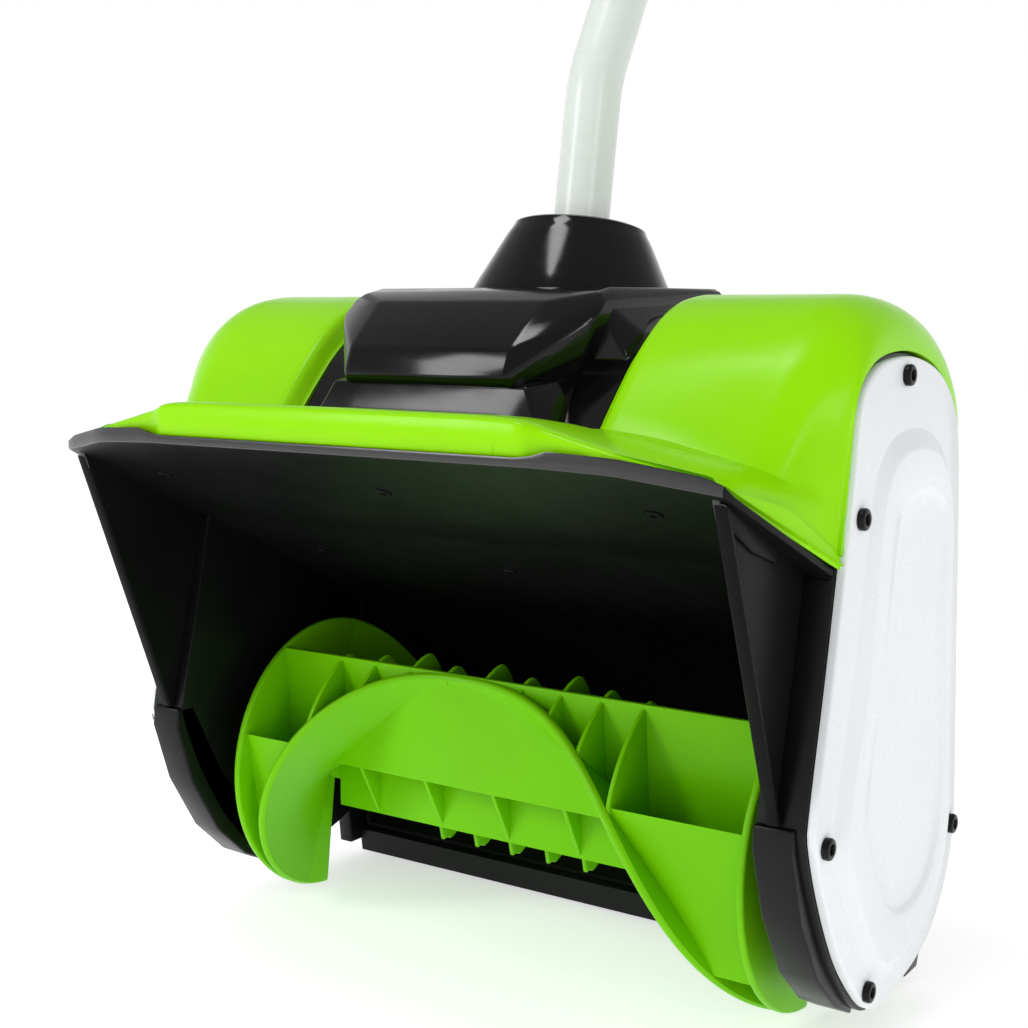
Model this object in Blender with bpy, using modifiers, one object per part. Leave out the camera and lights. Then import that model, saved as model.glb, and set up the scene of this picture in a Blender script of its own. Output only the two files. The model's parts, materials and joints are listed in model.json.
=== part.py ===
"""Cordless snow shovel: a 30 cm auger head on a bent pole with a battery handle.

Units are metres, +Z up. The snow mouth faces -Y and the pole leans back towards +Y. Every piece
is laid out from the auger's centreline, and the whole machine is then moved so that the world
origin lies on the ground under the middle of the scraper bar.
"""

import bmesh
import bpy
from math import atan2, cos, pi, radians, sin, sqrt
from mathutils import Matrix, Vector

MM = 0.001
GAP = 0.0003

# head
CLEAR_HALF = 0.151          # half of the clearing width, between the wings
PLATE_IN, PLATE_OUT = 0.146, 0.165
COVER_OUT = 0.169
CHAMBER_R = 0.076
CHAMBER_Z = 0.0768          # centre of the chamber's rear arc
SHEET = 0.003
HOOD_SLOPE = 0.495          # fall of the hood towards the rear
HOOD_Y, HOOD_Z = -0.1158, 0.2189
SCRAPER_Y = 0.053           # middle of the scraper's foot, behind the auger's axis

# drive
AUGER_Z = 0.069
AUGER_R = 0.067
AUGER_HALF = 0.1325
SHAFT_R = 0.006
MOTOR_Y, MOTOR_Z = -0.004, 0.224
MOTOR_R = 0.027
PULLEY_X0, PULLEY_X1 = 0.1525, 0.1605
BIG_PULLEY_R, SMALL_PULLEY_R = 0.030, 0.0085

# pole, measured along its upper leg from the bend
TUBE_R = 0.0125
TUBE_WALL = 0.0015
LOWER_LEAN, UPPER_LEAN = radians(9.7), radians(29.0)
BOOT_Y, BOOT_Z = 0.0187, 0.2983
BEND_Z = 0.392

machine = bpy.data.collections.new("cordless_snow_shovel")
cutters = bpy.data.collections.new("cutters")
for old in list(bpy.data.objects):
    bpy.data.objects.remove(old, do_unlink=True)
bpy.context.scene.collection.children.link(machine)
bpy.context.scene.collection.children.link(cutters)
root = bpy.data.objects.new("machine_root", None)
machine.objects.link(root)

SIDE_VIEW = Matrix(((0, 0, 1), (1, 0, 0), (0, 1, 0))).to_4x4()   # outline (y, z) pushed along X
ALONG_X = Matrix.Rotation(radians(90), 4, "Y")


def material(name, colour, roughness, metallic=0.0):
    mat = bpy.data.materials.new(name)
    mat.use_nodes = True
    shader = mat.node_tree.nodes["Principled BSDF"]
    shader.inputs["Base Color"].default_value = (*colour, 1)
    shader.inputs["Roughness"].default_value = roughness
    shader.inputs["Metallic"].default_value = metallic
    return mat


GREEN = material("green_plastic", (0.26, 0.75, 0.0), 0.32)
BLACK = material("black_plastic", (0.012, 0.012, 0.013), 0.3)
BLACK_GLOSS = material("black_gloss", (0.01, 0.01, 0.011), 0.12)
WHITE = material("white_plastic", (0.82, 0.83, 0.84), 0.3)
POLE = material("pole_paint", (0.66, 0.69, 0.67), 0.25)
STEEL = material("steel", (0.55, 0.55, 0.56), 0.3, 1.0)
DARK_STEEL = material("black_steel", (0.05, 0.05, 0.05), 0.35, 1.0)
RUBBER = material("rubber", (0.02, 0.02, 0.02), 0.8)
FOAM = material("foam", (0.025, 0.025, 0.025), 0.95)
BOARD = material("board", (0.02, 0.16, 0.06), 0.5)
BRASS = material("brass", (0.7, 0.5, 0.2), 0.3, 1.0)


def place(name, mesh, mat, matrix=None, origin=None):
    """Link a mesh as a named sub-part; origin moves its origin to a joint's axis."""
    obj = bpy.data.objects.new(name, mesh)
    obj.parent = root
    if matrix is not None:
        mesh.transform(matrix)
    if origin is not None:
        mesh.transform(Matrix.Translation(-Vector(origin)))
        obj.location = origin
    if mat is None:
        cutters.objects.link(obj)
        obj.hide_render = True
        obj.display_type = "WIRE"
    else:
        mesh.materials.clear()
        mesh.materials.append(mat)
        machine.objects.link(obj)
    return obj


def weld(mesh):
    bm = bmesh.new()
    bm.from_mesh(mesh)
    bmesh.ops.remove_doubles(bm, verts=bm.verts, dist=0.000005)
    bm.to_mesh(mesh)
    bm.free()


def curve_mesh(curve):
    """The mesh of a curve object, with its caps welded on; the curve itself is removed."""
    holder = bpy.data.objects.new("curve_holder", curve)
    machine.objects.link(holder)
    depsgraph = bpy.context.evaluated_depsgraph_get()
    mesh = bpy.data.meshes.new_from_object(holder.evaluated_get(depsgraph))
    bpy.data.objects.remove(holder, do_unlink=True)
    weld(mesh)
    return mesh


def outline(name, points, low, high, mat, matrix=SIDE_VIEW, origin=None):
    """A flat closed outline pushed from low to high along the matrix's third axis."""
    curve = bpy.data.curves.new(name, "CURVE")
    curve.dimensions = "2D"
    curve.fill_mode = "BOTH"
    curve.extrude = (high - low) / 2
    spline = curve.splines.new("POLY")
    spline.points.add(len(points) - 1)
    for point, (u, v) in zip(spline.points, points):
        point.co = (u, v, 0, 1)
    spline.use_cyclic_u = True
    mesh = curve_mesh(curve)
    shift = Matrix.Translation((0, 0, (low + high) / 2))
    return place(name, mesh, mat, matrix @ shift, origin)


def turned(name, profile, mat, matrix=None, steps=24, origin=None):
    """A profile of (radius, height), running down its outer side, turned about Z."""
    mesh = bpy.data.meshes.new(name)
    closed = profile[0][0] > 0.00001
    edges = [(i, i + 1) for i in range(len(profile) - 1)]
    if closed:
        edges.append((len(profile) - 1, 0))
    mesh.from_pydata([(r, 0, h) for r, h in profile], edges, [])
    holder = bpy.data.objects.new("turning", mesh)
    machine.objects.link(holder)
    screw = holder.modifiers.new("turn", "SCREW")
    screw.steps = steps
    screw.render_steps = steps
    screw.use_merge_vertices = True
    screw.merge_threshold = 0.00001
    depsgraph = bpy.context.evaluated_depsgraph_get()
    result = bpy.data.meshes.new_from_object(holder.evaluated_get(depsgraph))
    bpy.data.objects.remove(holder, do_unlink=True)
    weld(result)
    result.name = name
    result.shade_smooth()
    result.set_sharp_from_angle(angle=radians(35))
    return place(name, result, mat, matrix, origin)


def rod(name, radius, low, high, mat, matrix=None, steps=24, hole=0.0, origin=None):
    """A round bar or sleeve from low to high along Z."""
    if hole > 0:
        profile = [(radius, high), (radius, low), (hole, low), (hole, high)]
    else:
        profile = [(0, high), (radius, high), (radius, low), (0, low)]
    return turned(name, profile, mat, matrix, steps, origin)


def box(name, low, high, mat, matrix=None, origin=None):
    mesh = bpy.data.meshes.new(name)
    bm = bmesh.new()
    bmesh.ops.create_cube(bm, size=1)
    low, high = Vector(low), Vector(high)
    size = high - low
    bmesh.ops.scale(bm, vec=size, verts=bm.verts)
    bmesh.ops.translate(bm, vec=(low + high) / 2, verts=bm.verts)
    bm.to_mesh(mesh)
    bm.free()
    return place(name, mesh, mat, matrix, origin)


def swept(name, points, radius, mat, wall=0.0, resolution=4, origin=None):
    """A round tube along a path: open with a wall, or a solid bar."""
    curve = bpy.data.curves.new(name, "CURVE")
    curve.dimensions = "3D"
    curve.bevel_depth = radius
    curve.bevel_resolution = resolution
    curve.use_fill_caps = wall == 0
    spline = curve.splines.new("POLY")
    spline.points.add(len(points) - 1)
    for point, co in zip(spline.points, points):
        point.co = (*co, 1)
    mesh = curve_mesh(curve)
    mesh.shade_smooth()
    obj = place(name, mesh, mat, None, origin)
    if wall:
        solid = obj.modifiers.new("wall", "SOLIDIFY")
        solid.thickness = wall
        solid.offset = -1
        solid.use_even_offset = True
    return obj


def combine(obj, other, operation, solver="EXACT"):
    """Cut or join with a helper shape, which stays in the cutters' collection."""
    modifier = obj.modifiers.new(operation.lower(), "BOOLEAN")
    modifier.operation = operation
    modifier.solver = solver
    modifier.object = other
    return obj


def bevel(obj, width, segments=1, angle=40):
    modifier = obj.modifiers.new("bevel", "BEVEL")
    modifier.width = width
    modifier.segments = segments
    modifier.limit_method = "ANGLE"
    modifier.angle_limit = radians(angle)
    return obj


def offset(points, distance):
    """Move a counter-clockwise outline outwards by a distance, mitred at each corner."""
    moved = []
    count = len(points)
    for i in range(count):
        a, b, c = (Vector(points[(i + k) % count]) for k in (-1, 0, 1))
        first = (b - a).normalized()
        second = (c - b).normalized()
        n1 = Vector((first.y, -first.x))
        n2 = Vector((second.y, -second.x))
        mitre = (n1 + n2) / max(1.0 + n1.dot(n2), 0.35)
        moved.append(tuple(b + mitre * distance))
    return moved


def arc(cy, cz, radius, start, end, steps):
    return [(cy + radius * cos(radians(start + (end - start) * i / steps)),
             cz + radius * sin(radians(start + (end - start) * i / steps)))
            for i in range(steps + 1)]


def hood_z(y, lift=0.0):
    """Height of the hood's underside, or of a plane lifted square off it."""
    return HOOD_Z - HOOD_SLOPE * (y - HOOD_Y) + lift * sqrt(1 + HOOD_SLOPE ** 2)


# ---------------------------------------------------------------- side outlines (y, z)
# white side cover: counter-clockwise from the lower front, straight raked front edge,
# round heel and a rounded head
COVER_LINE = [(-0.0415, 0.0295), (-0.0285, 0.0195), (-0.015, 0.0172), (0.004, 0.0195), (0.022, 0.0235),
              (0.037, 0.0305), (0.050, 0.043), (0.0580, 0.058), (0.0612, 0.074),
              (0.0605, 0.100), (0.0575, 0.150), (0.0545, 0.200), (0.0505, 0.236),
              (0.0440, 0.251), (0.0310, 0.262), (0.0140, 0.2685), (-0.0070, 0.2715),
              (-0.0290, 0.2700), (-0.0410, 0.2655), (-0.0485, 0.2590), (-0.0530, 0.2480),
              (-0.0565, 0.2280), (-0.0620, 0.2020), (-0.0720, 0.1560), (-0.0830, 0.1100),
              (-0.0830, 0.0990), (-0.0740, 0.0760), (-0.0590, 0.0495)]
RIM_LINE = offset(COVER_LINE, 0.0014)
SHELL_HOLE = offset(COVER_LINE, 0.0017)

# green dome: front foot, over the top, down to the rear foot
DOME_LINE = [(-0.0900, 0.2400), (0.0700, 0.2400), (0.0745, 0.2480), (0.0700, 0.2600), (0.0590, 0.2740), (0.0420, 0.2855),
             (0.0200, 0.2925), (-0.0050, 0.2950), (-0.0270, 0.2930), (-0.0450, 0.2860),
             (-0.0620, 0.2720), (-0.0770, 0.2560)]


def head_shell():
    """Hood, rear arc and wings: one black moulding."""
    normal = Vector((HOOD_SLOPE, 1)).normalized()
    start = 90 - math_degrees(atan2(normal.x, normal.y))
    end = -math_degrees(atan2(sqrt(CHAMBER_R ** 2 - 0.046 ** 2), 0.046))
    inner = [(-0.1514, hood_z(-0.1514))] + arc(0, CHAMBER_Z, CHAMBER_R, start, end, 11)
    outer = arc(0, CHAMBER_Z, CHAMBER_R + SHEET, end, start, 11)
    outer.append((-0.1514, hood_z(-0.1514, SHEET)))
    shell = outline("head_shell", inner[::-1] + outer[::-1], -0.175, 0.175, BLACK)
    half = [(0.0, 0.12), (0.1457, 0.12), (0.1457, -0.0655), (0.1650, -0.0655),
            (0.1570, -0.1370), (0.1227, -0.1490), (0.0922, -0.1514), (0.0, -0.1514)]
    plan = [(-x, y) for x, y in half[1:-1]][::-1] + half[1:-1]
    keep = outline("hood_plan", plan, -0.05, 0.30, None, Matrix.Identity(4))
    combine(shell, keep, "INTERSECT")
    front = [(-0.1310, 0.2210), (-0.0880, 0.1064), (-0.0853, 0.1064), (-0.0851, 0.1110),
             (-0.0743, 0.1560), (-0.0662, 0.1925)]
    front += [(-0.0662, hood_z(-0.0662, 0.0012)), (-0.1345, hood_z(-0.1345, 0.0012))]
    for side, x in (("left", -CLEAR_HALF - 0.003), ("right", CLEAR_HALF)):
        wing = outline("wing_" + side, front, x, x + 0.003, None)
        combine(shell, wing, "UNION")
    return shell


def math_degrees(angle):
    return angle * 180 / pi


def span(sign, low, high):
    """An interval along X on the right (+1) or mirrored to the left (-1)."""
    return (low, high) if sign > 0 else (-high, -low)


def axle(name, radius, low, high, y, z, mat, steps=24, hole=0.0, origin=None):
    """A round piece along X."""
    matrix = Matrix.Translation((0, y, z)) @ ALONG_X
    return rod(name, radius, low, high, mat, matrix, steps, hole, origin)


COVER_SCREWS = [(-0.0110, 0.2645), (-0.0520, 0.2140), (-0.0765, 0.0980),
                (-0.0340, 0.0290), (0.0545, 0.0720)]


def side_plate(side, sign):
    """Black tray between the chamber and the side cover, with a ledge on its front edge."""
    name = "side_plate_" + side
    plate = outline(name, RIM_LINE, *span(sign, PLATE_IN, PLATE_OUT), BLACK)
    toe = [(-0.0880, 0.1060), (-0.0890, 0.0970), (-0.0800, 0.0690), (-0.0640, 0.0420),
           (-0.0460, 0.0250), (-0.0300, 0.0165), (-0.0300, 0.0330), (-0.0600, 0.0700),
           (-0.0780, 0.1060)]
    joined = outline(name + "_toe", toe, *span(sign, PLATE_IN, PLATE_OUT - 0.004), None)
    combine(plate, joined, "UNION")
    pocket = outline(name + "_pocket", offset(COVER_LINE, -0.0030),
                     *span(sign, PLATE_IN + 0.0030, 0.2), None)
    combine(plate, pocket, "DIFFERENCE")
    for i, (y, z) in enumerate(COVER_SCREWS):
        post = axle(f"{name}_post_{i}", 0.0048, *span(sign, 0.1480, PLATE_OUT - 0.0005), y, z,
                    None, 10)
        combine(plate, post, "UNION")
    for i, (y, z) in enumerate(COVER_SCREWS):
        hole = axle(f"{name}_screw_{i}", 0.0022, *span(sign, 0.1540, 0.2), y, z, None, 8)
        combine(plate, hole, "DIFFERENCE")
    bore = axle(name + "_bore", 0.0113, *span(sign, 0.1, 0.2), 0, AUGER_Z, None)
    combine(plate, bore, "DIFFERENCE")
    if sign > 0:
        window = axle(name + "_motor_window", 0.0115, 0.1, 0.2, MOTOR_Y, MOTOR_Z, None)
        combine(plate, window, "DIFFERENCE")
    return plate


BOSS_LINE = [(-0.0280, 0.0360), (-0.0080, 0.0300), (0.0200, 0.0360), (0.0380, 0.0500),
             (0.0460, 0.0740), (0.0440, 0.1500), (0.0400, 0.2050), (0.0280, 0.2240),
             (0.0040, 0.2380), (-0.0220, 0.2400), (-0.0360, 0.2280), (-0.0440, 0.2000),
             (-0.0560, 0.1500), (-0.0660, 0.1060), (-0.0600, 0.0820), (-0.0460, 0.0560)]


def side_cover(side, sign):
    """White lid screwed over the tray, with one long raised boss."""
    name = "side_cover_" + side
    low, high = span(sign, PLATE_OUT + GAP, COVER_OUT)
    cover = outline(name, COVER_LINE, low, high, WHITE)
    boss = outline(name + "_boss", BOSS_LINE, *span(sign, COVER_OUT - 0.002, COVER_OUT + 0.0035),
                   None)
    bevel(boss, 0.0022)
    combine(cover, boss, "UNION")
    hollow = outline(name + "_hollow", offset(BOSS_LINE, -0.0028),
                     *span(sign, 0.16, COVER_OUT + 0.0008), None)
    combine(cover, hollow, "DIFFERENCE")
    for i, (y, z) in enumerate(COVER_SCREWS):
        hole = axle(f"{name}_hole_{i}", 0.0022, *span(sign, 0.15, 0.2), y, z, None, 8)
        combine(cover, hole, "DIFFERENCE")
    for i, (y, z) in enumerate(COVER_SCREWS):
        top, base = COVER_OUT + 0.0026, COVER_OUT + GAP
        profile = [(0, top), (0.0026, top - 0.0002), (0.0040, base + 0.0010), (0.0040, base),
                   (0.0018, base), (0.0018, 0.1570), (0, 0.1570)]
        turn = ALONG_X if sign > 0 else Matrix.Rotation(radians(-90), 4, "Y")
        turned(f"cover_screw_{side}_{i + 1}", profile, DARK_STEEL,
               Matrix.Translation((0, y, z)) @ turn, 10)
    return cover


def open_below(points):
    """The same outline inset for a shell's inside, with its foot carried well below."""
    return [(y, z - 0.0105 if z < 0.2445 else z) for y, z in offset(points, -0.0025)]


def top_shell():
    """Green moulding: front lip with its swept-down shoulders and the two side domes."""
    lift = SHEET + GAP
    lip_line = [(-0.1500, hood_z(-0.1500, lift)), (-0.0500, hood_z(-0.0500, lift)),
                (-0.0500, 0.2440), (-0.0880, 0.2462), (-0.1450, 0.2535), (-0.1480, 0.2515)]
    lip = outline("top_shell", lip_line, -0.1670, 0.1670, GREEN)
    half = [(0.1670, -0.0400), (0.1665, -0.0600), (0.1530, -0.1320), (0.1227, -0.1462),
            (0.0922, -0.1490)]
    plan = [(-x, y) for x, y in half] + half[::-1]
    keep = outline("lip_plan", plan, 0.05, 0.40, None, Matrix.Identity(4))
    combine(lip, keep, "INTERSECT")
    front_view = Matrix(((1, 0, 0), (0, 0, -1), (0, 1, 0))).to_4x4()
    for side, sign in SIDES:
        fall = [(sign * 0.086, 0.2500), (sign * 0.125, 0.2400), (sign * 0.150, 0.2300),
                (sign * 0.175, 0.2160), (sign * 0.175, 0.30), (sign * 0.086, 0.30)]
        if sign < 0:
            fall = fall[::-1]
        shoulder = outline("lip_shoulder_" + side, fall, -0.01, 0.20, None, front_view)
        combine(lip, shoulder, "DIFFERENCE")
    for side, sign in SIDES:
        dome = outline("dome_" + side, DOME_LINE, *span(sign, 0.0753, 0.1670), None)
        bevel(dome, 0.006, 2, 60)
        combine(lip, dome, "UNION")
    inner = [(-0.1455, hood_z(-0.1455) - 0.02), (-0.0300, hood_z(-0.0300) - 0.02),
             (-0.0300, 0.2415), (-0.0875, 0.2437), (-0.1440, 0.2506)]
    under = outline("lip_inside", inner, -0.1200, 0.1200, None)
    combine(lip, under, "DIFFERENCE")
    for side, sign in SIDES:
        inside = outline("dome_inside_" + side, open_below(DOME_LINE),
                         *span(sign, 0.0700, 0.1640), None)
        combine(lip, inside, "DIFFERENCE")
        tray = outline("tray_hole_" + side, SHELL_HOLE, *span(sign, PLATE_IN - GAP, 0.2), None)
        combine(lip, tray, "DIFFERENCE")
    mouth = box("centre_opening", (-0.0753, -0.0936, 0.1), (0.0753, 0.2, 0.4), None)
    combine(lip, mouth, "DIFFERENCE")
    return lip


HUMP_LINE = [(-0.0930, 0.2400), (0.0745, 0.2400), (0.0745, 0.2720), (0.0650, 0.2900),
             (0.0500, 0.2980), (-0.0480, 0.2980), (-0.0560, 0.2945), (-0.0760, 0.2620),
             (-0.0930, 0.2490)]


def centre_cover():
    """Glossy cover over the motor bay, with a raised hump that carries the pole."""
    cover = outline("centre_cover", DOME_LINE, -0.0750, 0.0750, BLACK_GLOSS)
    hump = outline("hump", HUMP_LINE, -0.0560, 0.0560, None)
    bevel(hump, 0.004, 1, 60)
    combine(cover, hump, "UNION")
    combine(cover, outline("dome_bay", open_below(DOME_LINE), -0.09, 0.09, None), "DIFFERENCE")
    combine(cover, outline("hump_bay", open_below(HUMP_LINE), -0.0535, 0.0535, None),
            "DIFFERENCE")
    hole = rod("tube_hole", 0.0150, -0.10, 0.10, None, BOOT)
    combine(cover, hole, "DIFFERENCE")
    return cover


def rear_panel():
    """Back wall of the motor bay, with cooling slots."""
    panel = box("rear_panel", (-0.1454, 0.0500, 0.1120), (0.1454, 0.0747, 0.2397), BLACK)
    combine(panel, box("rear_bay", (-0.1429, 0.0, 0.0), (0.1429, 0.0722, 0.3), None),
            "DIFFERENCE")
    combine(panel, axle("rear_arc", CHAMBER_R + SHEET + 0.0006, -0.2, 0.2, 0, CHAMBER_Z, None, 48),
            "DIFFERENCE")
    for i in range(5):
        z = 0.1750 + 0.0085 * i
        combine(panel, box(f"vent_{i}", (-0.0450, 0.05, z), (0.0450, 0.10, z + 0.0040), None),
                "DIFFERENCE")
    return panel


def scraper():
    """Wear bar under the rear edge of the chamber, and the three screws that hold it."""
    radius = CHAMBER_R + SHEET + GAP
    low = [(0.0470, 0.0), (0.0590, 0.0), (0.0600, 0.0010)]
    high = [(y, CHAMBER_Z - sqrt(radius ** 2 - y ** 2)) for y in (0.0600, 0.0550, 0.0500, 0.0455)]
    bar = outline("scraper_bar", low + high, -0.1500, 0.1500, BLACK)
    for i, x in enumerate((-0.110, 0.0, 0.110)):
        frame = Matrix.Translation((x, 0.0600, 0.0100)) @ Matrix.Rotation(radians(-90), 4, "X")
        hole = rod(f"scraper_hole_{i}", 0.0024, -0.0060, 0.02, None, frame, 8)
        combine(bar, hole, "DIFFERENCE")
        profile = [(0, 0.0026), (0.0028, 0.0024), (0.0042, 0.0013), (0.0042, GAP),
                   (0.0020, GAP), (0.0020, -0.0055), (0, -0.0055)]
        turned(f"scraper_screw_{i + 1}", profile, DARK_STEEL, frame, 10)
    return bar


SIDES = (("left", -1), ("right", 1))


# ---------------------------------------------------------------- auger
def flight_angle(x, k):
    """Angle of a flight's edge about the axis, 0 forward and 90 up; k is 0 in front, 1 behind."""
    if x < -0.025:
        way = (-0.025 - x) / 0.106
        drop = 91 * way ** 2.35 + 49 * way ** 14
    else:
        drop = 140 * ((x + 0.025) / 0.156) ** 2.3
    return radians(60 - drop) if k == 0 else radians(205 - 0.75 * drop)


def fan(radius, start, end, steps):
    """Points on an arc round the auger's axis, angles as in flight_angle."""
    angles = [radians(start + (end - start) * i / steps) for i in range(steps + 1)]
    return [(-radius * cos(a), radius * sin(a)) for a in angles]


def auger_half(side, sign):
    """Half of the snow auger: end disc, two flights, their paddle plates, ribs and shelves."""
    name = "auger_half_" + side
    inner_end = GAP / 2
    turn = Matrix.Translation((0, 0, AUGER_Z))
    half = axle(name, 0.0130, *span(sign, inner_end, 0.1425), 0, AUGER_Z, GREEN, 16,
                origin=(0, 0, AUGER_Z))
    disc = axle(name + "_disc", AUGER_R, *span(sign, 0.1290, AUGER_HALF), 0, AUGER_Z, None, 32)
    combine(half, disc, "UNION", "MANIFOLD")
    for k, tag in enumerate("ab"):
        mesh = bpy.data.meshes.new(name + "_flight_" + tag)
        bm = bmesh.new()
        rows = []
        steps = 16
        for i in range(steps + 1):
            x = sign * (0.0030 + 0.1275 * (i / steps) ** 0.85)
            angle = flight_angle(x, k)
            rows.append([bm.verts.new((x, -r * cos(angle), r * sin(angle)))
                         for r in (0.0105, AUGER_R - 0.0008)])
        for a, b in zip(rows, rows[1:]):
            bm.faces.new((a[0], a[1], b[1], b[0]))
        bmesh.ops.recalc_face_normals(bm, faces=bm.faces)
        bm.to_mesh(mesh)
        bm.free()
        flight = place(name + "_flight_" + tag, mesh, None, turn)
        wall = flight.modifiers.new("wall", "SOLIDIFY")
        wall.thickness = 0.0034
        wall.offset = 0
        flight.modifiers.new("triangles", "TRIANGULATE")
        combine(half, flight, "UNION", "MANIFOLD")
        flip = turn @ Matrix.Rotation(k * pi, 4, "X") @ SIDE_VIEW
        top = 0.0585 if k == 0 else 0.0300
        sheets = [
            ("front", 0.1305, [(-0.0260, 0.0045), (-0.0290, 0.0045), (-0.0290 - top * 0.07, top),
                               (-0.0260 - top * 0.07, top)]),
            ("rear", 0.1120, [(-0.0115, -0.0215), (-0.0145, -0.0215), (-0.0145, 0.0040),
                              (-0.0115, 0.0040)])]
        for kind, reach, points in sheets:
            sheet = outline(f"{name}_{kind}_{tag}", points, *span(sign, 0.0008, reach), None, flip)
            combine(half, sheet, "UNION", "MANIFOLD")
        shelf = [(-0.0285, 0.0050), (-0.0590, 0.0235), (-0.0590, 0.0200), (-0.0500, -0.0420),
                 (-0.0472, -0.0420), (-0.0560, 0.0180), (-0.0275, 0.0020)]
        shelf = outline(f"{name}_shelf_{tag}", shelf, *span(sign, 0.1000, 0.1305), None, flip)
        combine(half, shelf, "UNION", "MANIFOLD")
    level = turn @ SIDE_VIEW
    for i in range(9):
        x = -0.0940 + 0.0204 * i
        if x * sign < 0:
            continue
        edge = min(flight_angle(x, 0), radians(56)) * 180 / pi - 2
        points = fan(0.0110, 82, edge, 3) + fan(0.0640, edge, 64 if i % 2 else 69, 4)
        rib = outline(f"{name}_rib_{i}", points, x - 0.0011, x + 0.0011, None, level)
        combine(half, rib, "UNION", "MANIFOLD")
    for i in range(4):
        x = -0.0880 + 0.0382 * i
        if x * sign < 0:
            continue
        points = [(-0.0110, -0.0110), (-0.0120, -0.0215), (-0.0142, -0.0215), (-0.0284, 0.0062),
                  (-0.0110, 0.0062)]
        gusset = outline(f"{name}_gusset_{i}", points, x - 0.0011, x + 0.0011, None, level)
        combine(half, gusset, "UNION", "MANIFOLD")
    for i in range(5):
        x = -0.0648 + 0.0204 * i
        if x * sign < 0:
            continue
        points = fan(0.0110, 270, 215, 2) + fan(0.0420, 222, 258, 4)
        lobe = outline(f"{name}_lobe_{i}", points, x - 0.0011, x + 0.0011, None, level)
        combine(half, lobe, "UNION", "MANIFOLD")
    bore = axle(name + "_bore", SHAFT_R + GAP, *span(sign, -0.01, 0.2), 0, AUGER_Z, None)
    combine(half, bore, "DIFFERENCE", "MANIFOLD")
    return half


def belt_line(extra, steps=12):
    """Loop round both pulleys, standing off their rims by extra."""
    r1, r2 = BIG_PULLEY_R + extra, SMALL_PULLEY_R + extra
    span_y, span_z = MOTOR_Y, MOTOR_Z - AUGER_Z
    along = math_degrees(atan2(span_z, span_y))
    open_angle = math_degrees(atan2(sqrt(span_y ** 2 + span_z ** 2 - (r1 - r2) ** 2), r1 - r2))
    points = arc(0, AUGER_Z, r1, along + open_angle, along + 360 - open_angle, steps * 2)
    points += arc(MOTOR_Y, MOTOR_Z, r2, along - open_angle, along + open_angle, steps)
    return points


def pulley(name, radius, y, z, bore):
    rim = PULLEY_X1 - PULLEY_X0
    flange = radius + 0.0022
    profile = [(flange, rim), (flange, rim - 0.0010), (radius, rim - 0.0016), (radius, 0.0016),
               (flange, 0.0010), (flange, 0.0), (bore, 0.0), (bore, rim)]
    matrix = Matrix.Translation((PULLEY_X0, y, z)) @ ALONG_X
    return turned(name, profile, BLACK, matrix, 28, (PULLEY_X0, y, z))


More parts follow.
